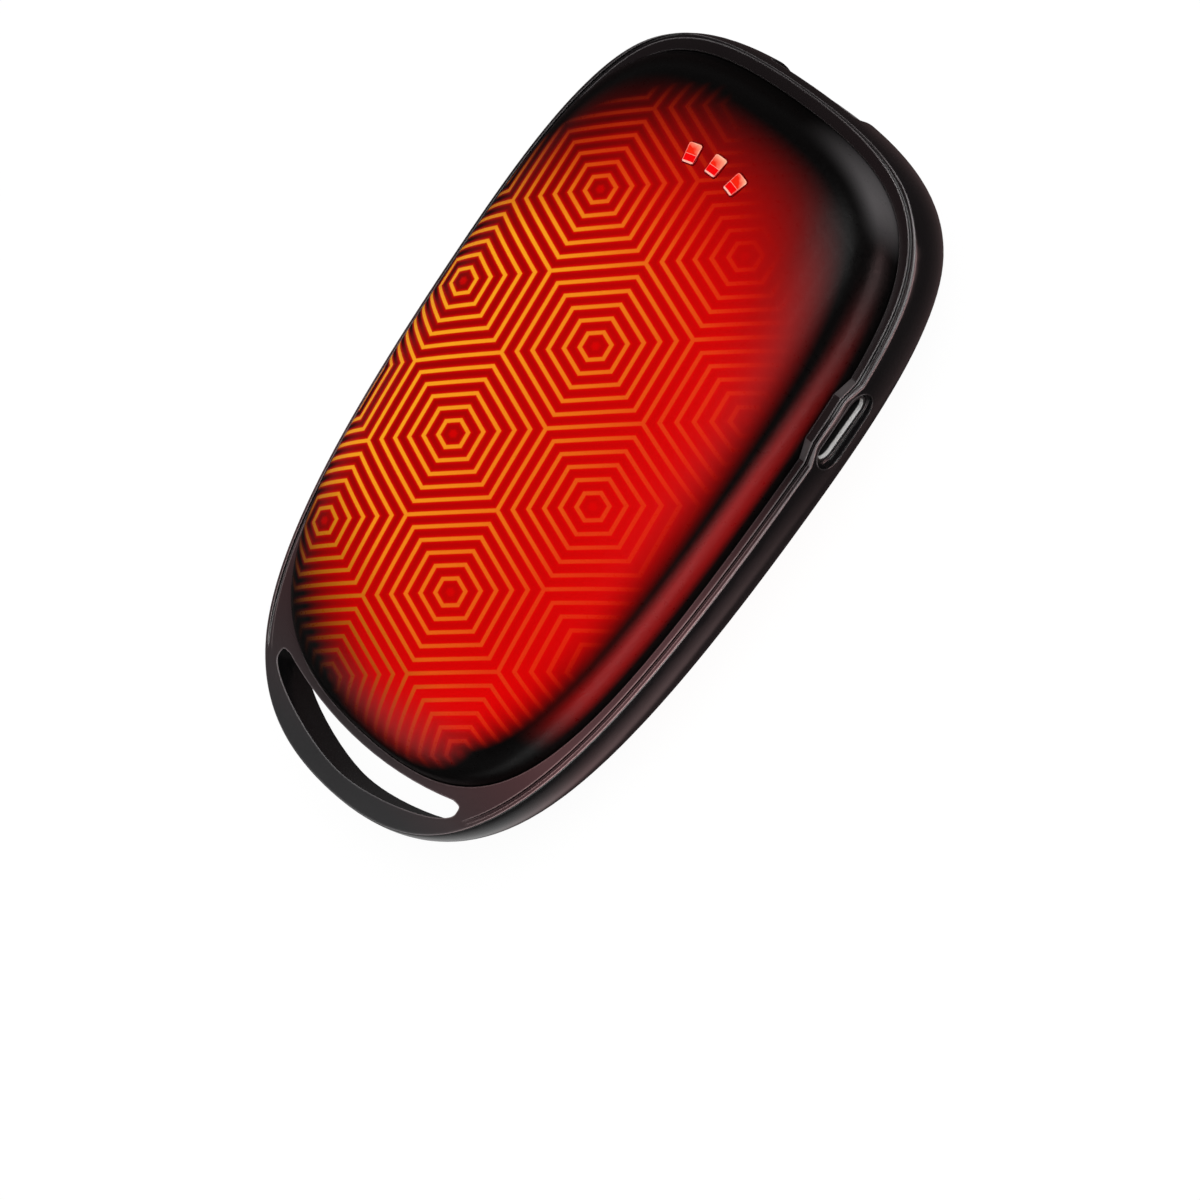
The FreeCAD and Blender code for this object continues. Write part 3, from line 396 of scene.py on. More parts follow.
nearest_ring = add(tree, "Math", ring, operation="ROUND")
from_line = add(tree, "Math", ring, nearest_ring, operation="SUBTRACT")
from_line = add(tree, "Math", from_line, operation="ABSOLUTE")
line = add(tree, "MapRange", from_line, LINE_HALF - LINE_SOFT, LINE_HALF + LINE_SOFT, 1.0, 0.0, **SMOOTH)
not_centre = add(tree, "Math", ring, 0.5, operation="GREATER_THAN")
line = add(tree, "Math", line, not_centre, **TIMES)
glow = add(tree, "MapRange", from_line, GLOW_HALF, LINE_HALF, **SMOOTH)
print("lines are", round(2 * LINE_HALF * ring_width, 2), "mm wide")

# %% The printed shells: where the red ground fades
# The red is thinner on one side and fullest at the tail. It dies away on the shoulders, lower down at the
# tail than at the head and lower on the back shell, and in a curve towards the head. Heights and places are
# millimetres, and a pair with a small first number is a slope and a height at the middle.
EVEN_SIDE, EVEN_INK = (-18.0, 15.0), (0.43, 0.87)
FULLER_ALONG, FULLER_INK = (-20.0, -33.0), (1.0, 1.28)
FADE_FOOT, FADE_TAIL_FOOT, FADE_TOP = (0.015, 8.85), (0.40, 21.9), (0.0326, 11.67)
HEAD_FADE, TAIL_FADE = (27.0, 63.0), (-61.0, -48.0)
HEAD_BOW, HEAD_BOW_MOST, TAIL_SLANT = 0.055, 12.5, 1.4
BACK_REACH = 2.4

even = add(tree, "MapRange", side, *EVEN_SIDE, *EVEN_INK)
fuller = add(tree, "MapRange", along, *FULLER_ALONG, *FULLER_INK)
fade_low = add(tree, "Math", along, *FADE_FOOT, operation="MULTIPLY_ADD")
fade_tail = add(tree, "Math", along, *FADE_TAIL_FOOT, operation="MULTIPLY_ADD")
fade_low = add(tree, "Math", fade_low, fade_tail, operation="MINIMUM")
fade_high = add(tree, "Math", along, *FADE_TOP, operation="MULTIPLY_ADD")
behind = add(tree, "MapRange", front, 1.0, -1.0, 0.0, BACK_REACH)
print_height = add(tree, "Math", height, behind, operation="ADD")
shoulder = add(tree, "MapRange", print_height, fade_low, fade_high, **SMOOTH)
squared = add(tree, "Math", side, side, **TIMES)
bow = add(tree, "Math", squared, HEAD_BOW, **TIMES)
bow = add(tree, "Math", bow, HEAD_BOW_MOST, operation="MINIMUM")
head_place = add(tree, "Math", bow, along, operation="ADD")
head = add(tree, "MapRange", head_place, *HEAD_FADE, 1.0, 0.0, **SMOOTH)
tail_place = add(tree, "Math", along, TAIL_SLANT, side, operation="MULTIPLY_ADD")
tail = add(tree, "MapRange", tail_place, *TAIL_FADE)
fill = even
for share in (fuller, shoulder, head, tail):
    fill = add(tree, "Math", fill, share, **TIMES)
print("at the middle the red fades from", FADE_TOP[1], "to", FADE_FOOT[1], "mm above the seam")

# %% The printed shells: red on the upright wall
# One more soft band of red lies on the upright wall beside the charging socket, below a dark valley. It is
# partly print and partly a painted reddish sheen.
WALL_INK_AND_SHEEN = 0.30
WALL_TOP, WALL_FOOT = (9.0, 7.4), (4.6, 6.4)
WALL_TAIL, WALL_HEAD = (-30.0, -20.0), (38.0, 4.0)

# The wall band is print red and also a painted reddish sheen.
wall = add(tree, "Math", across, 0.0, operation="GREATER_THAN")
for value, ends, ink in ((height, WALL_TOP, WALL_INK_AND_SHEEN), (height, WALL_FOOT, 1.0), (along, WALL_TAIL, 1.0),
                         (along, WALL_HEAD, 1.0), (front, (0.0, 1.0), 1.0)):
    share = add(tree, "MapRange", value, *ends, 0.0, ink, **SMOOTH)
    wall = add(tree, "Math", wall, share, **TIMES)
fill = add(tree, "Math", fill, wall, operation="ADD")
print("wall band from", WALL_FOOT[0], "to", WALL_TOP[0], "mm above the seam")

# %% The printed shells: a painted sheen round the head's corner
# Round the corner beside the charging socket the wall gets a painted soft grey sheen, strongest where it is
# upright.
CORNER_TOP = (9.1, 7.0)
CORNER_SIDE, CORNER_ALONG = (3.0, 18.0), (39.5, 44.5)

corner = add(tree, "MapRange", height, *CORNER_TOP, **SMOOTH)
for value, ends in ((across, CORNER_SIDE), (along, CORNER_ALONG)):
    share = add(tree, "MapRange", value, *ends, **SMOOTH)
    corner = add(tree, "Math", corner, share, **TIMES)
print("corner sheen from", CORNER_TOP[0], "mm above the seam down to it")

# %% The printed shells: where the lines fade
# The lines run further down on the left than the red does. They melt into it on the right and at the lenses.
LEFT_TO_RIGHT = (-6.0, 8.0)
LEFT_ALONG, LEFT_LOW, LEFT_HIGH = (-32.0, -12.0), (6.6, 6.4), (11.2, 8.6)
LINES_SIDE, LINES_MELT, LINES_HEAD = (14.0, 23.0), (27.0, 42.0), (27.0, 47.0)
MELT_SLANT, LINES_BOW, BACK_SHIFT = 0.6, 0.035, -2.0

melting = add(tree, "Math", side, MELT_SLANT, along, operation="MULTIPLY_ADD")
lines_place = add(tree, "Math", squared, LINES_BOW, along, operation="MULTIPLY_ADD")
lines_low = add(tree, "MapRange", along, *LEFT_ALONG, *LEFT_LOW)
lines_low = add(tree, "MapRange", side, *LEFT_TO_RIGHT, lines_low, fade_low)
lines_high = add(tree, "MapRange", along, *LEFT_ALONG, *LEFT_HIGH)
lines_high = add(tree, "MapRange", side, *LEFT_TO_RIGHT, lines_high, fade_high)
line_ink = add(tree, "MapRange", print_height, lines_low, lines_high, **SMOOTH)
lines_side = add(tree, "Math", behind, BACK_SHIFT, side, operation="MULTIPLY_ADD")
for value, ends in ((lines_side, LINES_SIDE), (melting, LINES_MELT), (lines_place, LINES_HEAD)):
    share = add(tree, "MapRange", value, *ends, 1.0, 0.0)
    line_ink = add(tree, "Math", line_ink, share, **TIMES)
print("lines melt from", LINES_MELT[0], "mm towards the head")

# %% The printed shells: amber, red and dim lines
# Across the shell and towards the head the lines turn from amber to red. At the tail they grow dimmer.
AMBER_SIDE, AMBER_HEAD, AMBER_TAIL = (-16.0, 13.0), (17.0, 33.0), (-34.0, -13.0)
AMBER_SIDE_INK, AMBER_HEAD_INK, AMBER_TAIL_INK = (1.0, 0.04), (1.0, 0.12), (0.6, 1.0)
LINES_DIM, DIM_SLANT, DIM_LEAST = (-43.0, -26.0), 0.5, 0.05

amber = add(tree, "MapRange", lines_side, *AMBER_SIDE, *AMBER_SIDE_INK)
amber_head = add(tree, "MapRange", along, *AMBER_HEAD, *AMBER_HEAD_INK, **SMOOTH)
amber_tail = add(tree, "MapRange", along, *AMBER_TAIL, *AMBER_TAIL_INK)
for share in (amber_head, amber_tail):
    amber = add(tree, "Math", amber, share, **TIMES)
dim_place = add(tree, "Math", side, DIM_SLANT, along, operation="MULTIPLY_ADD")
dim = add(tree, "MapRange", dim_place, *LINES_DIM, DIM_LEAST, 1.0)
print("lines dim from", LINES_DIM[1], "mm towards the tail")

# %% The printed shells: colour, grain and gloss
# Soft-touch paint scatters nearly all light: hardly any mirror gloss, only a broad sheen at the shoulders.
COAT_BLACK, COAT_PAINTED_SHEEN = "#060505", "#504D4E"
PRINT_RED, STROKE_RED, PRINT_AMBER = "#DF0202", "#DE2A10", "#FFA61F"
HALO_SHARE = 0.7
COAT_GRAIN_MM, COAT_GLOSS, LINE_POLISH = 0.22, (0.29, 0.36), -0.03

halo = glow
for share in (line_ink, add(tree, "Math", 1.0, fill, operation="SUBTRACT"), dim):
    halo = add(tree, "Math", halo, share, **TIMES)
fill_ink = add(tree, "Math", halo, HALO_SHARE, fill, operation="MULTIPLY_ADD")
# Round the head's corner the coat is a paler grey: a painted sheen.
coat = add(tree, "Mix", named={0: corner, 6: COAT_BLACK, 7: COAT_PAINTED_SHEEN}, **MIX_COLOURS)
ground = add(tree, "Mix", named={0: fill_ink, 6: coat, 7: PRINT_RED}, **MIX_COLOURS)
stroke = add(tree, "Mix", named={0: amber, 6: STROKE_RED, 7: PRINT_AMBER}, **MIX_COLOURS)
stroke = add(tree, "VectorMath", stroke, named={"Scale": dim}, operation="SCALE")
stroke_ink = add(tree, "Math", line, line_ink, **TIMES)
colour = add(tree, "Mix", named={0: stroke_ink, 6: ground, 7: stroke}, **MIX_COLOURS)
coat_grain = add(tree, "TexNoise", named={"Vector": point, "Scale": BLOB / COAT_GRAIN_MM})
gloss = add(tree, "MapRange", coat_grain, *NOISE_SPAN, *COAT_GLOSS)
gloss = add(tree, "Math", line, LINE_POLISH, gloss, operation="MULTIPLY_ADD")
end_finish(tree, colour, gloss, coat_grain, depth_mm=0.010, Specular_IOR_Level=0.06)
dress(printed, "front_shell", "back_shell")
print("shells printed with", len(tree.nodes), "nodes")

# %% [markdown]
# ## The black band and the button
# Both are moulded ABS. The flank and the walls of the slot come from polished mould steel, so they are deep
# black and mirror the table. The loop's flat top comes from a finer sparked tool: matt and a little greyer.
# The ledge ahead of it is polished too, and warmer along the shells, where the red print shines onto it: a
# painted red glow. The way a face points tells tops and flanks apart. The outer edges are pale, partly from
# wear and partly as a painted highlight, and a Bevel node shows where an edge is: there its normal leaves the
# face's own. Deep in grooves and beside walls the tops keep the flank's dark colour: painted shade. The
# button's cap comes from a matt tool too, so that a thumb can find it.

# %% The band: worn edges with a painted highlight
# A pair says where a share is none and where it is full: of how far a normal keeps to its face, and of how
# open a place is.
EDGE_MM = 0.3
FLOW_MM, FINE_MM = 9.0, 0.25
SHADE_MM, SHADE_RAYS = 0.5, 4
EDGE_BEND, CREST_OPEN = (0.985, 0.93), (0.70, 0.90)

band, tree, point = start_finish("Moulded_satin_black_ABS")
flow = add(tree, "TexNoise", named={"Vector": point, "Scale": BLOB / FLOW_MM})
fine = add(tree, "TexNoise", named={"Vector": point, "Scale": BLOB / FINE_MM})
rounded = add(tree, "Bevel", EDGE_MM * MM, samples=BEVEL_RAYS)
facing = add(tree, "NewGeometry", out="Normal")
bend = add(tree, "VectorMath", rounded, facing, **DOT)
# The pale edge is partly wear and partly a painted highlight.
worn = add(tree, "MapRange", bend, *EDGE_BEND)
unshaded = add(tree, "AmbientOcclusion", named={"Distance": SHADE_MM * MM}, out="AO", samples=SHADE_RAYS)
crest = add(tree, "MapRange", unshaded, *CREST_OPEN)
worn = add(tree, "Math", worn, crest, **TIMES)
print("band edges worn over", EDGE_MM, "mm")

# %% The band: flat tops and lips
# A top points nearly straight up or down and lies at the band's top level. A lip there is turned a little
# away and is pale too, from wear and a painted highlight. Edges lower down are only a little pale.
TOP_LEVEL, TOP_SOFT, LOW_REACH, LOW_EDGE_PALE = 2.9, 0.1, 0.6, 0.15
TOP_UP, TOP_OPEN, LIP_UP, LIP_OVER = (0.80, 0.95), (0.45, 0.75), (0.60, 0.72), (0.93, 0.83)

place = add(tree, "SeparateXYZ", point)
place_y, place_z = place.node.outputs[1], place.node.outputs[2]
level = add(tree, "Math", place_z, MID_HEIGHT, operation="SUBTRACT")
level = add(tree, "Math", level, operation="ABSOLUTE")
upward = add(tree, "SeparateXYZ", facing).node.outputs[2]
upward = add(tree, "Math", upward, operation="ABSOLUTE")
high_up = add(tree, "MapRange", level, TOP_LEVEL - TOP_SOFT, TOP_LEVEL)
top = add(tree, "MapRange", upward, *TOP_UP)
# Deep in a groove or close to a wall a top keeps the flank's dark colour: painted shade.
clear_of_painted_shade = add(tree, "MapRange", unshaded, *TOP_OPEN)
for share in (high_up, clear_of_painted_shade):
    top = add(tree, "Math", top, share, **TIMES)
lip = add(tree, "MapRange", upward, *LIP_UP)
lip_over = add(tree, "MapRange", upward, *LIP_OVER)
for share in (lip_over, high_up):
    lip = add(tree, "Math", lip, share, **TIMES)
low_down = add(tree, "MapRange", level, TOP_LEVEL - LOW_REACH, TOP_LEVEL, LOW_EDGE_PALE, 1.0)
worn = add(tree, "Math", worn, low_down, **TIMES)
worn = add(tree, "Math", worn, lip, operation="MAXIMUM")
print("band tops lie", TOP_LEVEL, "mm from the seam")

# %% The band: colour and gloss
WARM_TAIL, WARM_SIDE, WARM_HEAD, AHEAD = (-48.0, -30.0), (0.0, 14.0), (14.0, -8.0), (-44.0, -34.0)
WARM_SIDE_LEAST, WARM_HEAD_LEAST = 0.5, 0.08
FLANK_DARK, FLANK_LIGHT = "#0A090A", "#111011"
LOOP_GREY, LEDGE_BLACK, LEDGE_WARM = "#2C2B2C", "#121011", "#563A3C"
EDGE_GREY, EDGE_WARM = "#686667", "#B08C8C"
FLANK_GLOSS, LOOP_MATT = (0.16, 0.22), 0.18

# Along the shells the ledge and its pale edges are warmer: painted red light from the print.
warm = add(tree, "MapRange", place_y, *WARM_TAIL)
for value, ends, least in ((place, WARM_SIDE, WARM_SIDE_LEAST), (place_y, WARM_HEAD, WARM_HEAD_LEAST)):
    share = add(tree, "MapRange", value, *ends, least, 1.0)
    warm = add(tree, "Math", warm, share, **TIMES)
ahead = add(tree, "MapRange", place_y, *AHEAD)
flank = add(tree, "Mix", named={0: flow, 6: FLANK_DARK, 7: FLANK_LIGHT}, **MIX_COLOURS)
flat_top = add(tree, "Mix", named={0: ahead, 6: LOOP_GREY, 7: LEDGE_BLACK}, **MIX_COLOURS)
flat_top = add(tree, "Mix", named={0: warm, 6: flat_top, 7: LEDGE_WARM}, **MIX_COLOURS)
colour = add(tree, "Mix", named={0: top, 6: flank, 7: flat_top}, **MIX_COLOURS)
# Pale edges: wear and a painted highlight, warmer along the shells.
pale_edge_wear_and_highlight = add(tree, "Mix", named={0: warm, 6: EDGE_GREY, 7: EDGE_WARM}, **MIX_COLOURS)
colour = add(tree, "Mix", named={0: worn, 6: colour, 7: pale_edge_wear_and_highlight}, **MIX_COLOURS)
polish = add(tree, "MapRange", flow, *NOISE_SPAN, *FLANK_GLOSS)
matt_share = add(tree, "MapRange", ahead, 0.0, 1.0, LOOP_MATT, 0.0)
gloss = add(tree, "Math", top, matt_share, polish, operation="MULTIPLY_ADD")
end_finish(tree, colour, gloss, fine, depth_mm=0.003, edge_mm=EDGE_MM, Specular_IOR_Level=0.5)
dress(band, "mid_frame")
print("band dressed with", len(tree.nodes), "nodes")

# %% The button
button = plain_finish("Moulded_matt_black_ABS", "#171617", "#222122", grain_mm=0.22, roughness=(0.34, 0.44),
                      depth_mm=0.006, edge_mm=0.18, Specular_IOR_Level=0.45)
dress(button, "power_button")
print("button dressed in", button.name)

# %% [markdown]
# ## The three red lenses
# They are one moulding of clear red polycarbonate. Each lens shows a pale rim round a deep red middle: a
# painted highlight of its edges. The lenses stand in a fan, so one set of polar coordinates about the fan's
# hub describes all three: wrap the angle to one lens, then measure the way in from its edge.

# %% The red lenses: place on a lens
FAN_HUB_Y = 22.2
FAN_RADIUS = 15.0
LENS_PITCH = 3.5
FAN_STEP = math.asin(LENS_PITCH / FAN_RADIUS)
LENS_HALF = (0.9, 1.3)
LENS_ROUND = 0.35

lens, tree, point = start_finish("Moulded_clear_red_polycarbonate")
from_hub = add(tree, "VectorMath", point, (0.0, FAN_HUB_Y, 0.0), operation="SUBTRACT")
from_hub = add(tree, "VectorMath", from_hub, (1.0, 1.0, 0.0), **TIMES)
hub_far = add(tree, "VectorMath", from_hub, **LENGTH)
east = add(tree, "SeparateXYZ", from_hub)
turn = add(tree, "Math", east, east.node.outputs[1], operation="ARCTAN2")
off_middle = add(tree, "Math", turn, operation="ABSOLUTE")
middle_lens = add(tree, "Math", off_middle, FAN_STEP / 2, operation="LESS_THAN")
turn = add(tree, "Math", turn, FAN_STEP / 2, -FAN_STEP / 2, operation="WRAP")
lens_u = add(tree, "Math", turn, FAN_RADIUS, **TIMES)
lens_v = add(tree, "Math", hub_far, FAN_RADIUS, operation="SUBTRACT")
lens_place = add(tree, "CombineXYZ", lens_u, lens_v, 0.0)
print("lens step", round(math.degrees(FAN_STEP), 1), "degrees")

# %% The red lenses: the way in from the edge
folded = add(tree, "VectorMath", lens_place, operation="ABSOLUTE")
straight_half = tuple(half - LENS_ROUND for half in LENS_HALF)
past_straight = add(tree, "VectorMath", folded, (*straight_half, 0.0), operation="SUBTRACT")
outside = add(tree, "VectorMath", past_straight, (0.0, 0.0, 0.0), operation="MAXIMUM")
round_off = add(tree, "VectorMath", outside, **LENGTH)
past_u = add(tree, "SeparateXYZ", past_straight)
inner = add(tree, "Math", past_u, past_u.node.outputs[1], operation="MAXIMUM")
inner = add(tree, "Math", inner, 0.0, operation="MINIMUM")
edge = add(tree, "Math", round_off, inner, operation="ADD")
inset = add(tree, "Math", LENS_ROUND, edge, operation="SUBTRACT")
print("lenses", [round(2 * half, 1) for half in LENS_HALF], "mm")

# %% The red lenses: rim, ridge and foot
# A dark red line lies round each lens, a painted shadow, then a thin pale rim. A ridge crosses it below the
# middle, and the foot is palest. Rim, ridge and foot are painted highlights. All places are millimetres.
RIM_INSET, RIDGE_BELOW, PALE_LINE = 0.14, 0.15, (0.01, 0.045)
RIM_BRIGHT, RIDGE_BRIGHT, FOOT_BRIGHT = (0.15, 0.5), 0.5, 0.8
FOOT_PLACE = (-0.96, -1.06)
SWIRL_MM, SWIRL_SPAN = 0.8, (0.4, 0.6)

rim_far = add(tree, "Math", inset, RIM_INSET, operation="SUBTRACT")
ridge_far = add(tree, "Math", lens_v, RIDGE_BELOW, operation="ADD")
bright = add(tree, "MapRange", lens_v, *FOOT_PLACE, 0.0, FOOT_BRIGHT, **SMOOTH)
swirl = add(tree, "TexNoise", named={"Vector": point, "Scale": BLOB / SWIRL_MM})
rim_most = add(tree, "MapRange", swirl, *SWIRL_SPAN, *RIM_BRIGHT)
for far, most in ((rim_far, rim_most), (ridge_far, RIDGE_BRIGHT)):
    far = add(tree, "Math", far, operation="ABSOLUTE")
    pale = add(tree, "MapRange", far, *PALE_LINE, most, 0.0, **SMOOTH)
    bright = add(tree, "Math", bright, pale, operation="MAXIMUM")
print("rim", RIM_INSET, "mm in from the edge")

# %% The red lenses: colour and gloss
# Deep red lies below the ridge, and orange turning to cream above it, most on the middle lens.
UPPER_FROM, PAINTED_SHADOW_IN = (-0.21, -0.09), (0.05, 0.10)
CREAM_SLANT, CREAM_SWIRL, CREAM_MIDDLE, CREAM_FROM, CREAM_MOST = 0.7, 2.2, 0.6, (1.6, 3.2), 0.85
LENS_RED, LENS_ORANGE, LENS_CREAM = "#F00408", "#F2240F", "#FFCFA8"
LENS_PAINTED_HIGHLIGHT, LENS_PAINTED_SHADOW = "#FFC8B8", "#8A0508"

upper = add(tree, "MapRange", lens_v, *UPPER_FROM)
cream_place = lens_v
for value, amount in ((lens_u, CREAM_SLANT), (swirl, CREAM_SWIRL), (middle_lens, CREAM_MIDDLE)):
    cream_place = add(tree, "Math", value, amount, cream_place, operation="MULTIPLY_ADD")
cream = add(tree, "MapRange", cream_place, *CREAM_FROM, 0.0, CREAM_MOST)
above = add(tree, "Mix", named={0: cream, 6: LENS_ORANGE, 7: LENS_CREAM}, **MIX_COLOURS)
body = add(tree, "Mix", named={0: upper, 6: LENS_RED, 7: above}, **MIX_COLOURS)
# Pale rim, ridge and foot are painted highlights.
body_and_painted_highlights = add(tree, "Mix", named={0: bright, 6: body, 7: LENS_PAINTED_HIGHLIGHT}, **MIX_COLOURS)
# The dark red line round each lens is a painted shadow.
outline = add(tree, "MapRange", inset, *PAINTED_SHADOW_IN)
colour = add(tree, "Mix", named={0: outline, 6: LENS_PAINTED_SHADOW, 7: body_and_painted_highlights}, **MIX_COLOURS)
gloss = add(tree, "MapRange", swirl, *NOISE_SPAN, 0.06, 0.12)
# The lens also glows faintly in its own colours: a painted glow.
end_finish(tree, colour, gloss, swirl, depth_mm=0.004, edge_mm=0.05, IOR=1.585, Specular_IOR_Level=0.25,
           Emission_Color=colour, Emission_Strength=0.1)
dress(lens, "light_guide")
print("lenses dressed with", len(tree.nodes), "nodes")

# %% [markdown]
# ## Metal and inserts of the sockets
# The mouths are stamped from steel strip and nickel plated. Tumbling leaves the plating softly bright, with
# faint roll lines along the strip. The first half millimetre of the inner wall is painted near white as a
# highlight, a white bar, and the depth of the mouth is dark as painted shade. The cut rim is dark too. The
# tongues inside are glass-filled liquid-crystal polymer, matt and slightly speckled.

# %% The sockets
MOUTH_X, MOUTH_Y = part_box("usb_c_shell")[1][0] / MM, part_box("usb_a_shell")[1][1] / MM
BRIGHT_DEPTH, RIM_DEPTH = (-0.62, -0.48), (-0.10, -0.04)
ROLL_STRETCH, ROLL_MM = (0.15, 1.0, 4.0), 0.3

nickel, tree, point = start_finish("Nickel_plated_stamped_steel")
stretched = add(tree, "VectorMath", point, ROLL_STRETCH, **TIMES)
rolled = add(tree, "TexNoise", named={"Vector": stretched, "Scale": BLOB / ROLL_MM})
from_mouth = add(tree, "VectorMath", point, (MOUTH_X, MOUTH_Y, 0.0), operation="SUBTRACT")
from_mouth = add(tree, "SeparateXYZ", from_mouth)
depth = add(tree, "Math", from_mouth, from_mouth.node.outputs[1], operation="MAXIMUM")
# Near the mouth the wall is near white, a painted highlight; deeper in it is dark, painted shade; the last
# tenth of a millimetre at the rim is dark as well.
painted_white_bar = add(tree, "MapRange", depth, *BRIGHT_DEPTH)
cut_rim = add(tree, "MapRange", depth, *RIM_DEPTH, 1.0, 0.0)
painted_white_bar = add(tree, "Math", painted_white_bar, cut_rim, **TIMES)
plated = add(tree, "Mix", named={0: rolled, 6: "#F2F0EC", 7: "#FFFFFF"}, **MIX_COLOURS)
colour = add(tree, "Mix", named={0: painted_white_bar, 6: "#0A0A0B", 7: plated}, **MIX_COLOURS)
gloss = add(tree, "MapRange", rolled, *NOISE_SPAN, 0.50, 0.62)
end_finish(tree, colour, gloss, rolled, depth_mm=0.002, edge_mm=0.12, Metallic=0.1)
dress(nickel, "usb_c_shell", "usb_a_shell")
print("mouths at x", round(MOUTH_X, 2), "and y", round(MOUTH_Y, 2), "mm")

# %% Tabs and tongues
tab = plain_finish("Rolled_nickel_strip", "#B9B6B0", "#DDDAD5", grain_mm=0.2, roughness=(0.3, 0.42),
                   depth_mm=0.003, Metallic=1.0)
dress(tab, "cell_tabs")

insert = plain_finish("Moulded_black_crystal_polymer", "#0C0C0E", "#1C1C1F", grain_mm=0.3,
                      roughness=(0.42, 0.58), depth_mm=0.006, edge_mm=0.1)
dress(insert, "usb_c_tongue", "usb_a_tongue")
print("dressed in", tab.name, "and", insert.name)

# %% [markdown]
# ## Contacts on the tongues
# Each tongue carries a row of gold-plated contacts, stamped as flat strips with rounded noses. They are all
# alike and stand at one pitch, so a Geometry Nodes tree draws one strip, repeats it along a line and makes
# the copies real. The charging socket has a row on both faces of its tongue, the output socket on one face.

# %% Gold for the contacts
# Gold over nickel: warm, smooth, and a little duller where plugs have rubbed along it.
gold = plain_finish("Gold_plated_phosphor_bronze", "#C79A3C", "#EBC766", grain_mm=0.12,
                    roughness=(0.18, 0.34), depth_mm=0.001, Metallic=1.0)
print("contacts are of", gold.name)

# %% A row of contacts
NOSE_STEPS = 4
SEAM_DISTANCE = 0.0001 * MM


def contact_tree(material):
    """Tree that lays rounded strips along X, a pitch apart along Y, with their lower faces at height zero."""
    tree = new_group("Contact_row", Count="Int", Pitch="Float", Length="Float", Width="Float",
                     Thickness="Float", Nose_Radius="Float")
    _, count, pitch, length, width, thickness, nose = add(tree, "NodeGroupInput").node.outputs[:7]
    outline = add(tree, "GeometryNodeCurvePrimitiveQuadrilateral", named={"Width": length, "Height": width})
    rounded = add(tree, "GeometryNodeFilletCurve", outline, mode="POLY",
                  named={"Count": NOSE_STEPS, "Radius": nose})
    face = add(tree, "GeometryNodeFillCurve", rounded, mode="NGONS")
    top = add(tree, "GeometryNodeExtrudeMesh", face, named={"Offset Scale": thickness})
    underside = add(tree, "GeometryNodeFlipFaces", face)
    strip = add(tree, "GeometryNodeJoinGeometry", top)
    tree.links.new(underside, strip.node.inputs[0])
    closed = add(tree, "GeometryNodeMergeByDistance", named={"Geometry": strip, "Distance": SEAM_DISTANCE})
    gaps = add(tree, "Math", count, 1.0, operation="SUBTRACT")
    span = add(tree, "Math", gaps, pitch, **TIMES)
    first = add(tree, "Math", span, -0.5, **TIMES)
    start = add(tree, "CombineXYZ", 0.0, first, 0.0)
    step = add(tree, "CombineXYZ", 0.0, pitch, 0.0)
    places = add(tree, "GeometryNodeMeshLine", mode="OFFSET",
                 named={"Count": count, "Start Location": start, "Offset": step})
    copies = add(tree, "GeometryNodeInstanceOnPoints", places, named={"Instance": closed})
    real = add(tree, "GeometryNodeRealizeInstances", copies)
    add(tree, "NodeGroupOutput", add(tree, "GeometryNodeSetMaterial", real, named={"Material": material}))
    return tree


contact_row = contact_tree(gold)
contact_inputs = inputs_of(contact_row)


def contacts(name, count, sizes_mm, place):
    """Lay one row, turn it into a plain mesh, move it to its tongue and let it ride with the casing."""
    maker = bpy.data.objects.new(name + "_maker", bpy.data.meshes.new(name + "_maker"))
    bpy.context.scene.collection.objects.link(maker)
    modifier = maker.modifiers.new("Row", "NODES")
    modifier.node_group = contact_row
    modifier[contact_inputs["Count"]] = count
    for size, value in sizes_mm.items():
        modifier[contact_inputs[size]] = value * MM
    mesh = bpy.data.meshes.new_from_object(maker.evaluated_get(bpy.context.evaluated_depsgraph_get()))
    bpy.data.objects.remove(maker)
    mesh.transform(place)
    mesh.name = name
    piece = bpy.data.objects.new(name, mesh)
    bpy.context.scene.collection.objects.link(piece)
    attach(piece, "casing")
    print(name, "has", len(mesh.polygons), "faces")


print("a row of contacts has", len(contact_row.nodes), "nodes")

# %% Contacts of both sockets
STRIP_SUNK = 0.01 * MM
CHARGING_STRIP = {"Pitch": 0.5, "Length": 2.0, "Width": 0.27, "Thickness": 0.04, "Nose Radius": 0.1}
OUTPUT_STRIP = {"Pitch": 2.33, "Length": 6.6, "Width": 1.1, "Thickness": 0.06, "Nose Radius": 0.3}
CHARGING_COUNT, OUTPUT_COUNT = 12, 4
CHARGING_TONGUE_HALF = 0.35 * MM
CHARGING_INSET = 1.25 * MM
OUTPUT_INSET = 3.9 * MM
OUTPUT_TONGUE_FACE = 12.28 * MM

low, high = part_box("usb_c_tongue")
middle = (Vector(low) + Vector(high)) / 2
charging_middle = Matrix.Translation((high[0] - CHARGING_INSET, middle.y, middle.z))
upright = Matrix.Translation((0, 0, CHARGING_TONGUE_HALF - STRIP_SUNK))
turned = Matrix.Rotation(math.pi, 4, "X")
contacts("charging_contacts_upper", CHARGING_COUNT, CHARGING_STRIP, charging_middle @ upright)
contacts("charging_contacts_lower", CHARGING_COUNT, CHARGING_STRIP, charging_middle @ turned @ upright)

low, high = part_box("usb_a_tongue")
output_middle = Matrix.Translation((0, high[1] - OUTPUT_INSET, OUTPUT_TONGUE_FACE + STRIP_SUNK))
quarter = Matrix.Rotation(math.pi / 2, 4, "Z")
contacts("output_contacts", OUTPUT_COUNT, OUTPUT_STRIP, output_middle @ quarter @ turned)

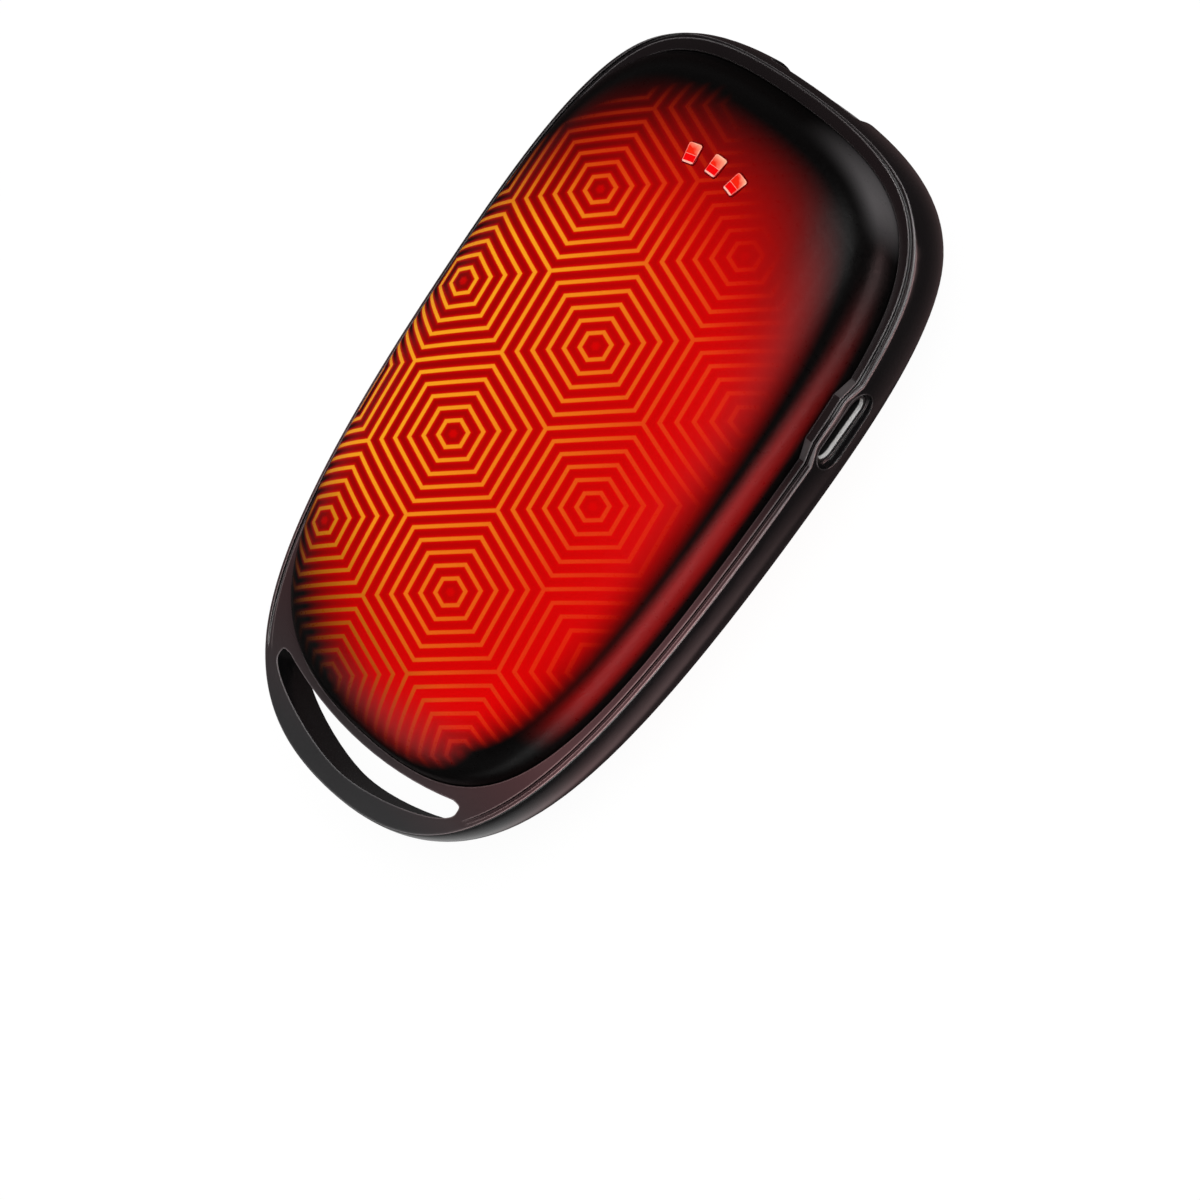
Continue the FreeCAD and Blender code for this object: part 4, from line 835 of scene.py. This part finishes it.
# %% [markdown]
# ## The circuit board and what stands on it
# The board is glass-fibre laminate under a green lacquer. Copper tracks stand a little proud under the
# lacquer and look paler, and tinned holes join the two faces. Its sawn edge shows the bare yellow laminate.
# A wavy band pattern gives the tracks, and scattered cells give the holes.

# %% The circuit board
# At a scale of 1 a wave texture repeats every pi / 10 units along an axis, and at twice that where its bands
# are diagonal, as they are here.
WAVE_REPEAT = math.pi / 10
TRACK_HALF_STEP_MM, TRACK_BEND, TRACK_BEND_SCALE, TRACK_SPAN = 0.9, 3.0, 0.15, (0.55, 0.62)
HOLE_SPACING_MM, HOLE_RADIUS_MM = 2.4, 0.28
FLAT_FACE = 0.7

board, tree, point = start_finish("Lacquered_glass_fibre_laminate")
upward = add(tree, "SeparateXYZ", add(tree, "NewGeometry", out="Normal")).node.outputs[2]
upward = add(tree, "Math", upward, operation="ABSOLUTE")
flat_face = add(tree, "Math", upward, FLAT_FACE, operation="GREATER_THAN")
tracks = add(tree, "TexWave", out="Fac", bands_direction="DIAGONAL",
             named={"Vector": point, "Scale": WAVE_REPEAT / TRACK_HALF_STEP_MM, "Distortion": TRACK_BEND,
                    "Detail": 0.0, "Detail Scale": TRACK_BEND_SCALE})
tracks = add(tree, "MapRange", tracks, *TRACK_SPAN)
holes = add(tree, "TexVoronoi", out="Distance", voronoi_dimensions="2D",
            named={"Vector": point, "Scale": 1 / HOLE_SPACING_MM})
holes = add(tree, "Math", holes, HOLE_RADIUS_MM / HOLE_SPACING_MM, operation="LESS_THAN")
lacquer = add(tree, "Mix", named={0: tracks, 6: "#0D4428", 7: "#1B6A41"}, **MIX_COLOURS)
face_colour = add(tree, "Mix", named={0: holes, 6: lacquer, 7: "#C9CBCB"}, **MIX_COLOURS)
colour = add(tree, "Mix", named={0: flat_face, 6: "#B5A163", 7: face_colour}, **MIX_COLOURS)
gloss = add(tree, "MapRange", tracks, 0.0, 1.0, 0.38, 0.28)
end_finish(tree, colour, gloss, tracks, depth_mm=0.02)
dress(board, "main_board")
print("board tracks", 2 * TRACK_HALF_STEP_MM, "mm apart along its edges")

# %% Small parts of one stuff
# Zinc plating is bluish and softly bright; nylon and acetal are waxy; mould compound is matt charcoal;
# pressed ferrite is grey and finely pitted. Each row has the finish's name, its dark and light colours, its
# grain, its range of roughness, the depth of its bump, the width of its edges and how metallic it is.
SMALL_PARTS = {
    "board_screws": ("Zinc_plated_steel", "#A9AFB8", "#D3D7DD", 0.15, (0.26, 0.42), 0.004, 0.1, 1.0),
    "switch_body": ("Moulded_glass_filled_nylon", "#161718", "#292A2C", 0.25, (0.45, 0.6), 0.008, 0.08, 0.0),
    "switch_plunger": ("Moulded_white_acetal", "#D2D2CA", "#E6E6E0", 0.4, (0.3, 0.4), 0.004, 0.08, 0.0),
    "control_chip": ("Moulded_epoxy_compound", "#17181A", "#2A2B2D", 0.08, (0.5, 0.65), 0.006, 0.06, 0.0),
    "boost_inductor": ("Pressed_ferrite", "#2E2F32", "#4A4B4F", 0.1, (0.55, 0.75), 0.012, 0.1, 0.0),
}
for part, (*finish, edge_mm, metallic) in SMALL_PARTS.items():
    dress(plain_finish(*finish, edge_mm=edge_mm, Metallic=metallic), part)
epoxy = plain_finish("Cast_epoxy_bead", "#12161F", "#252B38", grain_mm=0.5, roughness=(0.18, 0.28),
                     depth_mm=0.006)
dress(epoxy, "front_thermistor", "back_thermistor")
print(len(SMALL_PARTS), "small parts and two beads dressed")

# %% Capacitors
# Fired ceramic is tan and matt, and its two dipped ends are bright tin.
CERAMIC_GRAIN_MM = 0.1
CAPACITOR_BODY_HALF = 1.05
low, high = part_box("capacitors")
capacitor_middle = (low[1] + high[1]) / 2 / MM

ceramic, tree, point = start_finish("Fired_ceramic_with_tinned_ends")
speckle = add(tree, "TexNoise", named={"Vector": point, "Scale": BLOB / CERAMIC_GRAIN_MM})
off_middle = add(tree, "SeparateXYZ", point).node.outputs[1]
off_middle = add(tree, "Math", off_middle, capacitor_middle, operation="SUBTRACT")
off_middle = add(tree, "Math", off_middle, operation="ABSOLUTE")
tinned = add(tree, "Math", off_middle, CAPACITOR_BODY_HALF, operation="GREATER_THAN")
fired = add(tree, "Mix", named={0: speckle, 6: "#8C6A45", 7: "#A88359"}, **MIX_COLOURS)
colour = add(tree, "Mix", named={0: tinned, 6: fired, 7: "#CFD1D2"}, **MIX_COLOURS)
gloss = add(tree, "MapRange", speckle, *NOISE_SPAN, 0.35, 0.5)
end_finish(tree, colour, gloss, speckle, depth_mm=0.004, edge_mm=0.08, Metallic=tinned)
dress(ceramic, "capacitors")
print("capacitors tinned", CAPACITOR_BODY_HALF, "mm from their middle")

# %% Light chips
# A light chip is a white moulded cup filled with yellow phosphor, which shows on its upper face.
PHOSPHOR_MM = 0.06

led, tree, point = start_finish("Moulded_cup_with_phosphor")
speckle = add(tree, "TexNoise", named={"Vector": point, "Scale": BLOB / PHOSPHOR_MM})
upward = add(tree, "SeparateXYZ", add(tree, "NewGeometry", out="Normal")).node.outputs[2]
top_face = add(tree, "Math", upward, FLAT_FACE, operation="GREATER_THAN")
cup = add(tree, "Mix", named={0: speckle, 6: "#DEDDD6", 7: "#F2F1EC"}, **MIX_COLOURS)
phosphor = add(tree, "Mix", named={0: speckle, 6: "#D8B030", 7: "#F0D565"}, **MIX_COLOURS)
colour = add(tree, "Mix", named={0: top_face, 6: cup, 7: phosphor}, **MIX_COLOURS)
gloss = add(tree, "MapRange", speckle, *NOISE_SPAN, 0.3, 0.45)
end_finish(tree, colour, gloss, speckle, depth_mm=0.003, edge_mm=0.06)
dress(led, "indicator_leds")
print("light chips dressed in", led.name)

# %% [markdown]
# ## Cells, heaters and foam
# The cells are pouches of laminated aluminium foil, which creases as it is drawn. The heat spreaders are
# rolled aluminium with fine lines along the rolling direction. A heater film is amber polyimide with etched
# tracks, and the pads between film and cells are closed-cell foam.

# %% Cells and spreaders
pouch = plain_finish("Drawn_aluminium_laminate", "#A9ABAE", "#D0D2D4", grain_mm=1.6, roughness=(0.34, 0.5),
                     depth_mm=0.06, stretch=(1.0, 0.35, 1.0), detail=4.0, Metallic=0.9)
dress(pouch, "upper_cell", "lower_cell")
sheet = plain_finish("Rolled_aluminium_sheet", "#B4B7BA", "#DADCDE", grain_mm=0.12, roughness=(0.26, 0.4),
                     depth_mm=0.004, edge_mm=0.1, stretch=(1.0, 0.03, 1.0), Metallic=1.0)
dress(sheet, "front_heat_spreader", "back_heat_spreader")
print("cells dressed in", pouch.name, "and spreaders in", sheet.name)

# %% Heater films and foam
TRACK_STEP_MM, ETCHED_SPAN, FILM_GRAIN_MM = 2.2, (0.5, 0.58), 0.5
FOAM_CELL_MM, FOAM_SPAN = 0.7, (0.0, 0.8)

film, tree, point = start_finish("Etched_polyimide_film")
weave = add(tree, "TexWave", out="Fac", wave_profile="SIN",
            named={"Vector": point, "Scale": WAVE_REPEAT / TRACK_STEP_MM, "Distortion": 0.0})
etched = add(tree, "MapRange", weave, *ETCHED_SPAN)
speckle = add(tree, "TexNoise", named={"Vector": point, "Scale": BLOB / FILM_GRAIN_MM})
bare_film = add(tree, "Mix", named={0: speckle, 6: "#A85B16", 7: "#C57A25"}, **MIX_COLOURS)
colour = add(tree, "Mix", named={0: etched, 6: bare_film, 7: "#7E4320"}, **MIX_COLOURS)
gloss = add(tree, "MapRange", etched, 0.0, 1.0, 0.18, 0.3)
end_finish(tree, colour, gloss, etched, depth_mm=0.02)
dress(film, "front_heater_film", "back_heater_film")

foam, tree, point = start_finish("Closed_cell_polyurethane_foam")
cells = add(tree, "TexVoronoi", out="Distance", named={"Vector": point, "Scale": 1 / FOAM_CELL_MM})
colour = add(tree, "Mix", named={0: cells, 6: "#25262A", 7: "#55575D"}, **MIX_COLOURS)
gloss = add(tree, "MapRange", cells, *FOAM_SPAN, 0.95, 0.75)
end_finish(tree, colour, gloss, cells, depth_mm=0.15)
dress(foam, "front_insulation_pad", "back_insulation_pad")
print("film tracks", TRACK_STEP_MM, "mm apart, foam cells", FOAM_CELL_MM, "mm")

# %% Leads
# Silicone sleeves are soft and satin. The lead on the right of each pair is red and the other black.
DUST_MM = 0.3

sleeve, tree, point = start_finish("Extruded_silicone_sleeve")
dust = add(tree, "TexNoise", named={"Vector": point, "Scale": BLOB / DUST_MM})
lead_x = add(tree, "SeparateXYZ", point)
red_side = add(tree, "Math", lead_x, 0.0, operation="GREATER_THAN")
black = add(tree, "Mix", named={0: dust, 6: "#131314", 7: "#262628"}, **MIX_COLOURS)
red = add(tree, "Mix", named={0: dust, 6: "#8E1210", 7: "#B41E18"}, **MIX_COLOURS)
colour = add(tree, "Mix", named={0: red_side, 6: black, 7: red}, **MIX_COLOURS)
gloss = add(tree, "MapRange", dust, *NOISE_SPAN, 0.4, 0.52)
end_finish(tree, colour, gloss, dust, depth_mm=0.004)
dress(sleeve, "front_heater_leads", "back_heater_leads")
undressed = [name for name, solid in nodes.items() if not solid.data.materials]
print("solids without a finish:", undressed)
